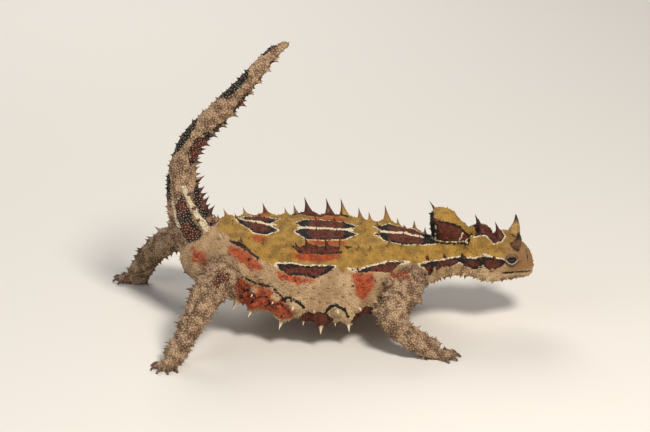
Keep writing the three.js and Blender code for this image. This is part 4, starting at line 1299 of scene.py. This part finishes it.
CREAM = shade(180, 151, 114)
CREAM_2 = shade(154, 124, 90)
PALE = shade(170, 139, 107)
PALE_2 = shade(110, 81, 57)
BELLY = shade(180, 150, 114)
OLIVE = shade(164, 126, 56)
OLIVE_2 = shade(128, 97, 42)
HEAD_TAN = shade(132, 96, 56)
ORANGE = shade(170, 72, 29)
RED = shade(122, 40, 22)
BLACK = shade(24, 17, 14)
RED_BROWN = shade(76, 34, 21)
RED_BROWN_2 = shade(104, 48, 27)
WHITE = shade(212, 196, 164)
CREAM_TIP = shade(222, 206, 180)
BROWN_TIP = shade(80, 45, 24)
DARK_RED_TIP = shade(70, 29, 19)
DARK_TIP = shade(44, 23, 16)
LID, LID_2, LID_RIM = shade(124, 94, 60), shade(86, 62, 42), shade(146, 136, 132)
IRIS, IRIS_2, PUPIL = shade(44, 24, 13), shade(16, 10, 8), shade(5, 4, 4)
HORN_TAN, HORN_TAN_2 = shade(166, 130, 72), shade(132, 98, 52)
HORN_BROWN, HORN_BROWN_2, HORN_TIP = shade(116, 78, 48), shade(74, 46, 30), shade(40, 22, 15)
CLAW_BROWN, CLAW_BROWN_2 = shade(66, 45, 33), shade(112, 84, 62)
FLOOR_GREY = shade(222, 217, 209)


class Painter:
    """A material, with short calls that add its shader nodes."""

    def __init__(self, name):
        self.material = bpy.data.materials.new(name)
        self.material.use_nodes = True
        self.tree = self.material.node_tree
        self.shader = self.tree.nodes["Principled BSDF"]
        place = self.add("ShaderNodeTexCoord").outputs["Object"]
        scaled = self.add("ShaderNodeVectorMath", operation="SCALE")
        scaled.inputs["Scale"].default_value = 1 / MM
        self.tree.links.new(place, scaled.inputs[0])
        self.place = scaled.outputs[0]

    def add(self, kind, **settings):
        node = self.tree.nodes.new(kind)
        for key, value in settings.items():
            setattr(node, key, value)
        return node

    def feed(self, socket, value):
        if isinstance(value, bpy.types.NodeSocket):
            self.tree.links.new(value, socket)
        else:
            socket.default_value = value

    def field(self, name):
        return self.add("ShaderNodeAttribute", attribute_name=name).outputs["Fac"]

    def math(self, operation, *values, clamp=False):
        node = self.add("ShaderNodeMath", operation=operation, use_clamp=clamp)
        for socket, value in zip(node.inputs, values):
            self.feed(socket, value)
        return node.outputs[0]

    def ramp(self, value, low, high, start=0.0, stop=1.0):
        node = self.add("ShaderNodeMapRange", interpolation_type="SMOOTHSTEP")
        for socket, number in zip(node.inputs, (value, low, high, start, stop)):
            self.feed(socket, number)
        return node.outputs[0]

    def mix(self, share, first, second, blend="MIX"):
        node = self.add("ShaderNodeMix", data_type="RGBA", blend_type=blend)
        self.feed(node.inputs[0], share)
        self.feed(node.inputs[6], first)
        self.feed(node.inputs[7], second)
        return node.outputs[2]

    def noise(self, per_mm, detail=2.0):
        node = self.add("ShaderNodeTexNoise")
        self.feed(node.inputs["Vector"], self.place)
        node.inputs["Scale"].default_value = per_mm
        node.inputs["Detail"].default_value = detail
        return node.outputs["Fac"]

    def cells(self, per_mm, feature="F1"):
        node = self.add("ShaderNodeTexVoronoi", feature=feature)
        self.feed(node.inputs["Vector"], self.place)
        node.inputs["Scale"].default_value = per_mm
        return node

    def bump(self, height, distance, normal=None, strength=1.0):
        node = self.add("ShaderNodeBump")
        node.inputs["Strength"].default_value = strength
        node.inputs["Distance"].default_value = distance * MM
        self.feed(node.inputs["Height"], height)
        if normal is not None:
            self.feed(node.inputs["Normal"], normal)
        return node.outputs[0]

    def finish(self, colour, roughness, normal=None, specular=0.35):
        self.feed(self.shader.inputs["Base Color"], colour)
        self.feed(self.shader.inputs["Roughness"], roughness)
        self.shader.inputs["Specular IOR Level"].default_value = specular
        if normal is not None:
            self.feed(self.shader.inputs["Normal"], normal)
        return self.material


def skin_material(name, part):
    """The skin's colours, grain and painted shade, also for the large thorns and for the small scales."""
    paint = Painter(name)
    broad, middling, fine = paint.noise(0.16, 2.0), paint.noise(0.8, 3.0), paint.noise(3.2, 2.0)
    scale_cells = paint.cells(1.15)
    one_cell = paint.add("ShaderNodeSeparateColor")
    paint.feed(one_cell.inputs[0], scale_cells.outputs["Color"])
    ragged = paint.math("MULTIPLY_ADD", paint.math("SUBTRACT", middling, 0.5), 1.5, 0.0)
    ragged = paint.math("MULTIPLY_ADD", paint.math("SUBTRACT", one_cell.outputs[0], 0.5), 0.45, ragged)

    def mask(key, low, high, loose):
        """Where a field goes from low to high, along an edge as ragged as loose says."""
        value = paint.math("MULTIPLY_ADD", ragged, loose, paint.field(key))
        return paint.ramp(value, low, high)

    dark, core = mask("dark", -0.1, 0.14, 0.55), mask("core", -0.25, 0.3, 0.8)
    fire, olive = mask("fire", -0.7, 0.8, 1.9), mask("olive", -0.45, 0.5, 0.9)
    line, near_olive = mask("line", -0.07, 0.07, 0.3), mask("olive", -1.6, -0.6, 0.3)
    border = paint.math("MULTIPLY", mask("rim", -0.42, -0.3, 0.45), near_olive)
    pale, belly, head = paint.field("pale"), paint.field("belly"), paint.field("head")

    colour = paint.mix(paint.ramp(broad, 0.35, 0.65), CREAM, CREAM_2)
    pales = paint.mix(paint.ramp(paint.noise(0.4, 3.0), 0.38, 0.62), PALE, PALE_2)
    colour = paint.mix(pale, colour, pales)
    bellies = paint.mix(paint.ramp(paint.noise(0.22, 2.0), 0.52, 0.58), BELLY, BROWN_TIP)
    colour = paint.mix(belly, colour, bellies)
    olives = paint.mix(paint.ramp(paint.noise(0.35, 3.0), 0.35, 0.68), OLIVE, OLIVE_2)
    colour = paint.mix(olive, colour, olives)
    colour = paint.mix(paint.math("MULTIPLY", head, 0.85), colour, HEAD_TAN)
    fires = paint.mix(paint.ramp(middling, 0.38, 0.62), RED, ORANGE)
    colour = paint.mix(paint.math("MULTIPLY", fire, 0.92), colour, fires)
    colour = paint.mix(border, colour, WHITE)
    colour = paint.mix(dark, colour, BLACK)
    browns = paint.mix(paint.ramp(middling, 0.4, 0.7), RED_BROWN, RED_BROWN_2)
    colour = paint.mix(paint.math("MULTIPLY", core, dark), colour, browns)
    colour = paint.mix(line, colour, WHITE)

    tip = paint.field("tip")
    speckle = paint.ramp(fine, 0.3, 0.7, 0.9, 1.08)
    if part == "skin":
        # Painted shade in the crevices between scales: darker along the edges of the scale cells, most on
        # the legs and tail
        edges = paint.cells(1.15, "DISTANCE_TO_EDGE").outputs["Distance"]
        crevice_shade = paint.math("MULTIPLY_ADD", pale, -0.4, 0.84)
        value = paint.math("MULTIPLY", paint.ramp(edges, 0.0, 0.16, crevice_shade, 1.04), speckle)
    elif part == "scales":
        # Painted shade at the foot of each small scale, where it meets the skin, and a little lighter at
        # its top
        base = paint.math("MULTIPLY_ADD", pale, -0.24, 0.78)
        value = paint.math("MULTIPLY", paint.ramp(tip, 0.0, 0.6, base, 1.07), speckle)
        lit = paint.math("MULTIPLY", paint.ramp(tip, 0.5, 1.0, 0.0, 0.35), pale)
        colour = paint.mix(lit, colour, CREAM_TIP)
    else:
        value = speckle
    # Painted shade: the colour darkens in the creases where the legs join the trunk
    value = paint.math("MULTIPLY", value, paint.math("MULTIPLY_ADD", paint.field("fold"), -0.5, 1.0))
    shades = paint.add("ShaderNodeCombineColor")
    for socket in shades.inputs[:3]:
        paint.feed(socket, value)
    colour = paint.mix(1.0, colour, shades.outputs[0], "MULTIPLY")
    if part == "thorns":
        tip_colour = paint.mix(paint.math("MAXIMUM", olive, pale), CREAM_TIP, BROWN_TIP)
        tip_colour = paint.mix(paint.math("MAXIMUM", fire, core), tip_colour, DARK_RED_TIP)
        tip_colour = paint.mix(dark, tip_colour, DARK_TIP)
        colour = paint.mix(paint.ramp(tip, 0.3, 0.9, 0.0, 0.85), colour, tip_colour)
    grains = paint.cells(2.6)
    small = paint.math("SUBTRACT", 1.0, grains.outputs["Distance"])
    normal = paint.bump(small, 0.1, strength=0.7)
    if part == "skin":
        domes = paint.math("SUBTRACT", 1.0, scale_cells.outputs["Distance"])
        normal = paint.bump(domes, 0.22, normal, 0.8)
    horny = part == "thorns"
    roughness = paint.ramp(fine, 0.2, 0.8, 0.5 if horny else 0.62, 0.66 if horny else 0.82)
    return paint.finish(colour, roughness, normal, 0.4 if horny else 0.3)


def lid_material():
    paint = Painter("lid skin")
    rim = paint.field("rim")
    fine = paint.noise(3.0, 3.0)
    colour = paint.mix(paint.ramp(fine, 0.3, 0.7), LID, LID_2)
    colour = paint.mix(paint.ramp(rim, 0.3, 0.8), colour, LID_RIM)
    grains = paint.math("SUBTRACT", 1.0, paint.cells(3.4).outputs["Distance"])
    return paint.finish(colour, 0.55, paint.bump(grains, 0.08))


def eye_material():
    paint = Painter("eye")
    ring = paint.field("ring")
    iris = paint.mix(paint.noise(2.5, 3.0), IRIS, IRIS_2)
    colour = paint.mix(paint.ramp(ring, 0.3, 0.42), PUPIL, iris)
    paint.shader.inputs["Coat Weight"].default_value = 0.35
    paint.shader.inputs["Coat Roughness"].default_value = 0.03
    return paint.finish(colour, 0.22, None, 0.4)


def horn_material():
    paint = Painter("horn")
    tip = paint.field("tip")
    streaks = paint.noise(1.3, 3.0)
    colour = paint.mix(paint.ramp(streaks, 0.35, 0.65), HORN_TAN, HORN_TAN_2)
    outer = paint.math("MULTIPLY_ADD", paint.math("SUBTRACT", streaks, 0.5), 1.2, paint.field("outer"))
    browns = paint.mix(paint.ramp(streaks, 0.4, 0.6), HORN_BROWN, HORN_BROWN_2)
    colour = paint.mix(paint.ramp(outer, -0.1, 0.4), colour, browns)
    colour = paint.mix(paint.ramp(tip, 0.5, 0.78), colour, HORN_TIP)
    grains = paint.math("SUBTRACT", 1.0, paint.cells(1.9).outputs["Distance"])
    return paint.finish(colour, 0.5, paint.bump(grains, 0.12), 0.4)


def claw_material():
    paint = Painter("claw")
    colour = paint.mix(paint.noise(1.5, 3.0), CLAW_BROWN, CLAW_BROWN_2)
    return paint.finish(colour, 0.38, paint.bump(paint.noise(5.0, 2.0), 0.03), 0.5)


# Assembly

large_roots, large_axes, large_lengths = large_thorns()
broad = low_flank(large_roots)
flank_roots = large_roots[broad > 0.5]
skin, skin_points, skin_quads = build_skin()
large_found = place_of(large_roots)
thorns = scatter(
    "thorns", BIG, large_roots + large_axes * 0.05, large_axes, large_lengths,
    (0.4 + 0.14 * broad - 0.12 * (large_found["knob"] < 1.1)) * large_lengths + 0.15,
    np.array([-0.1, 0.0, 0.06]) * (1 - broad[:, None]), large_found,
)


def small_coat():
    """Spinules and grains spread over the skin, clear of the large thorns' feet, the eyes and the soles."""
    places, normals = surface_sample(skin_points, skin_quads, SAMPLES)
    order = rng.permutation(len(places))
    places, normals = places[order], normals[order]
    from_thorn = np.full(len(places), 1e9)
    for root, length in zip(large_roots, large_lengths):
        from_thorn = np.minimum(from_thorn, norms(places - root) - 0.36 * length)
    from_eye = norms(np.abs(places) - EYE_AT)
    clear = (places[:, 2] > 0.4) & ((from_eye > EYE_CLEAR) | (places[:, 0] < 48))
    places, normals, from_thorn = places[clear], normals[clear], from_thorn[clear]
    found = place_of(places)
    on_limb = np.minimum(found["leg"][0], found["tail"][0]) < found["trunk"]
    on_tail = (found["tail"][0] < found["trunk"]) & (found["tail"][1] > 0.06)
    head = step(43, 52, places[:, 0])
    back = step(75, 45, np.abs(found["degrees"])) * (1 - on_limb)
    foot = step(0.78, 0.95, np.where(found["leg"][0] < found["trunk"], found["leg"][1], 0))

    spiny_gap = SPINULE_GAP - 0.2 * on_limb + 0.5 * back - 0.5 * head - 0.5 * foot
    candidates = np.flatnonzero(from_thorn > 0.35)
    spiny = candidates[spread(places[candidates], spiny_gap[candidates])]
    grain_gap = GRAIN_GAP - 0.1 * head - 0.04 * on_limb - 0.04 * foot
    clear_of_spines = np.ones(len(places), bool)
    clear_of_spines[spiny] = False
    candidates = np.flatnonzero((from_thorn > -0.1) & clear_of_spines)
    grainy = candidates[spread(places[candidates], grain_gap[candidates])]

    smooth = on_limb * step(0.35, 0.75, np.abs(normals[:, 1]))
    size = 0.95 + 0.25 * on_limb - 0.3 * back - 0.4 * head - 0.25 * foot - 0.4 * on_tail - 0.5 * smooth
    size = np.maximum(size, 0.4) * rng.uniform(0.7, 1.3, len(places))
    along = np.array([LEAN_BACK, 0, 0.1])
    pieces = []
    for name, index in parts_of("spinules", spiny, SPINULE_PIECES):
        pieces.append(scatter(
            name, SMALL, places[index], normals[index] + along, size[index], 0.4 * size[index] + 0.12,
            np.zeros((len(index), 3)), select(found, index),
        ))
    for name, index in parts_of("grains", grainy, GRAIN_PIECES):
        gap = grain_gap[index]
        height = gap * rng.uniform(0.16, 0.34, len(index))
        pieces.append(scatter(
            name, GRAIN, places[index], normals[index], height, 0.52 * gap, np.zeros((len(index), 3)),
            select(found, index),
        ))
    return pieces


def parts_of(name, index, count):
    """Splits a list in pieces, so that each mesh stays small."""
    return [(name + "_" + str(i + 1), part) for i, part in enumerate(np.array_split(index, count))]


small = small_coat()
lids = build_lids()
eyes = {side: build_eye("eyeball_" + side, sign) for side, sign in (("left", 1), ("right", -1))}
horns = {side: build_horn("brow_horn_" + side, sign) for side, sign in (("left", 1), ("right", -1))}
claws = build_claws()

skin.data.materials.append(skin_material("scaly skin", "skin"))
thorns.data.materials.append(skin_material("thorns", "thorns"))
scale_look = skin_material("small scales", "scales")
for piece in small:
    piece.data.materials.append(scale_look)
lids.data.materials.append(lid_material())
claws.data.materials.append(claw_material())
eye_look, horn_look = eye_material(), horn_material()
for side in ("left", "right"):
    eyes[side].data.materials.append(eye_look)
    horns[side].data.materials.append(horn_look)
    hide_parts("eye_" + side)
    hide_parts("horn_" + side)

FLESH = [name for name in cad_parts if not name.startswith(("eye_", "horn_"))]
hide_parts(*FLESH)
for piece in (thorns, *small):
    print(piece.name, sum(len(face.vertices) - 2 for face in piece.data.polygons), "triangles")
for piece in (skin, thorns, lids, claws, *small, *eyes.values(), *horns.values()):
    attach(piece, "root")


# Floor, light and camera

FLOOR_REACH = 3000.0
LIGHT_AIM = np.array([0, 0, 25.0])
# Name, place, power in watts, size and colour
LIGHTS = [
    ("key", (170, -340, 450), 3.3, 120, (1.0, 0.95, 0.88)),
    ("fill", (-420, -260, 240), 0.7, 400, (0.92, 0.96, 1.0)),
    ("rim", (-120, 420, 360), 1.3, 260, (1.0, 0.98, 0.95)),
]
WORLD_COLOUR = (0.93, 0.95, 1.0, 1.0)
WORLD_LIGHT = 0.2


def build_stage():
    corners = [(-1, -1, 0), (1, -1, 0), (1, 1, 0), (-1, 1, 0)]
    floor = mesh_object("floor", FLOOR_REACH * np.array(corners), [[0, 1, 2, 3]])
    paint = Painter("pale floor")
    floor.data.materials.append(paint.finish(FLOOR_GREY, 0.9))


def area_light(name, place, power, size, tint):
    light = bpy.data.lights.new(name, "AREA")
    light.energy = power
    light.size = size * MM
    light.color = tint
    lamp = bpy.data.objects.new(name, light)
    lamp.location = (np.array(place) + SHIFT) * MM
    lamp.rotation_euler = look_along(LIGHT_AIM - np.array(place))
    bpy.context.collection.objects.link(lamp)


def look_along(direction):
    """Euler angles that point a light's or camera's -Z along a direction, with +Y up."""
    x, y, z = direction / np.linalg.norm(direction)
    return (math.acos(-z), 0.0, math.atan2(y, x) - math.pi / 2)


def build_camera():
    down = math.radians(VIEW_DOWN)
    data = bpy.data.cameras.new("camera")
    data.sensor_width = SENSOR
    data.lens = SENSOR * VIEW_DISTANCE / VIEW_WIDTH
    data.clip_start, data.clip_end = 0.01, 50
    camera = bpy.data.objects.new("camera", data)
    away = np.array([0, -math.cos(down), math.sin(down)]) * VIEW_DISTANCE
    camera.location = (np.array(PHOTO_CENTRE) + away + SHIFT) * MM
    camera.rotation_euler = (math.pi / 2 - down, 0, 0)
    bpy.context.collection.objects.link(camera)
    bpy.context.scene.camera = camera


def build_world():
    world = bpy.data.worlds.new("studio")
    world.use_nodes = True
    background = world.node_tree.nodes["Background"]
    background.inputs[0].default_value = WORLD_COLOUR
    background.inputs[1].default_value = WORLD_LIGHT
    bpy.context.scene.world = world


build_stage()
build_world()
build_camera()
for settings in LIGHTS:
    area_light(*settings)
bpy.context.scene.view_settings.view_transform = "Standard"
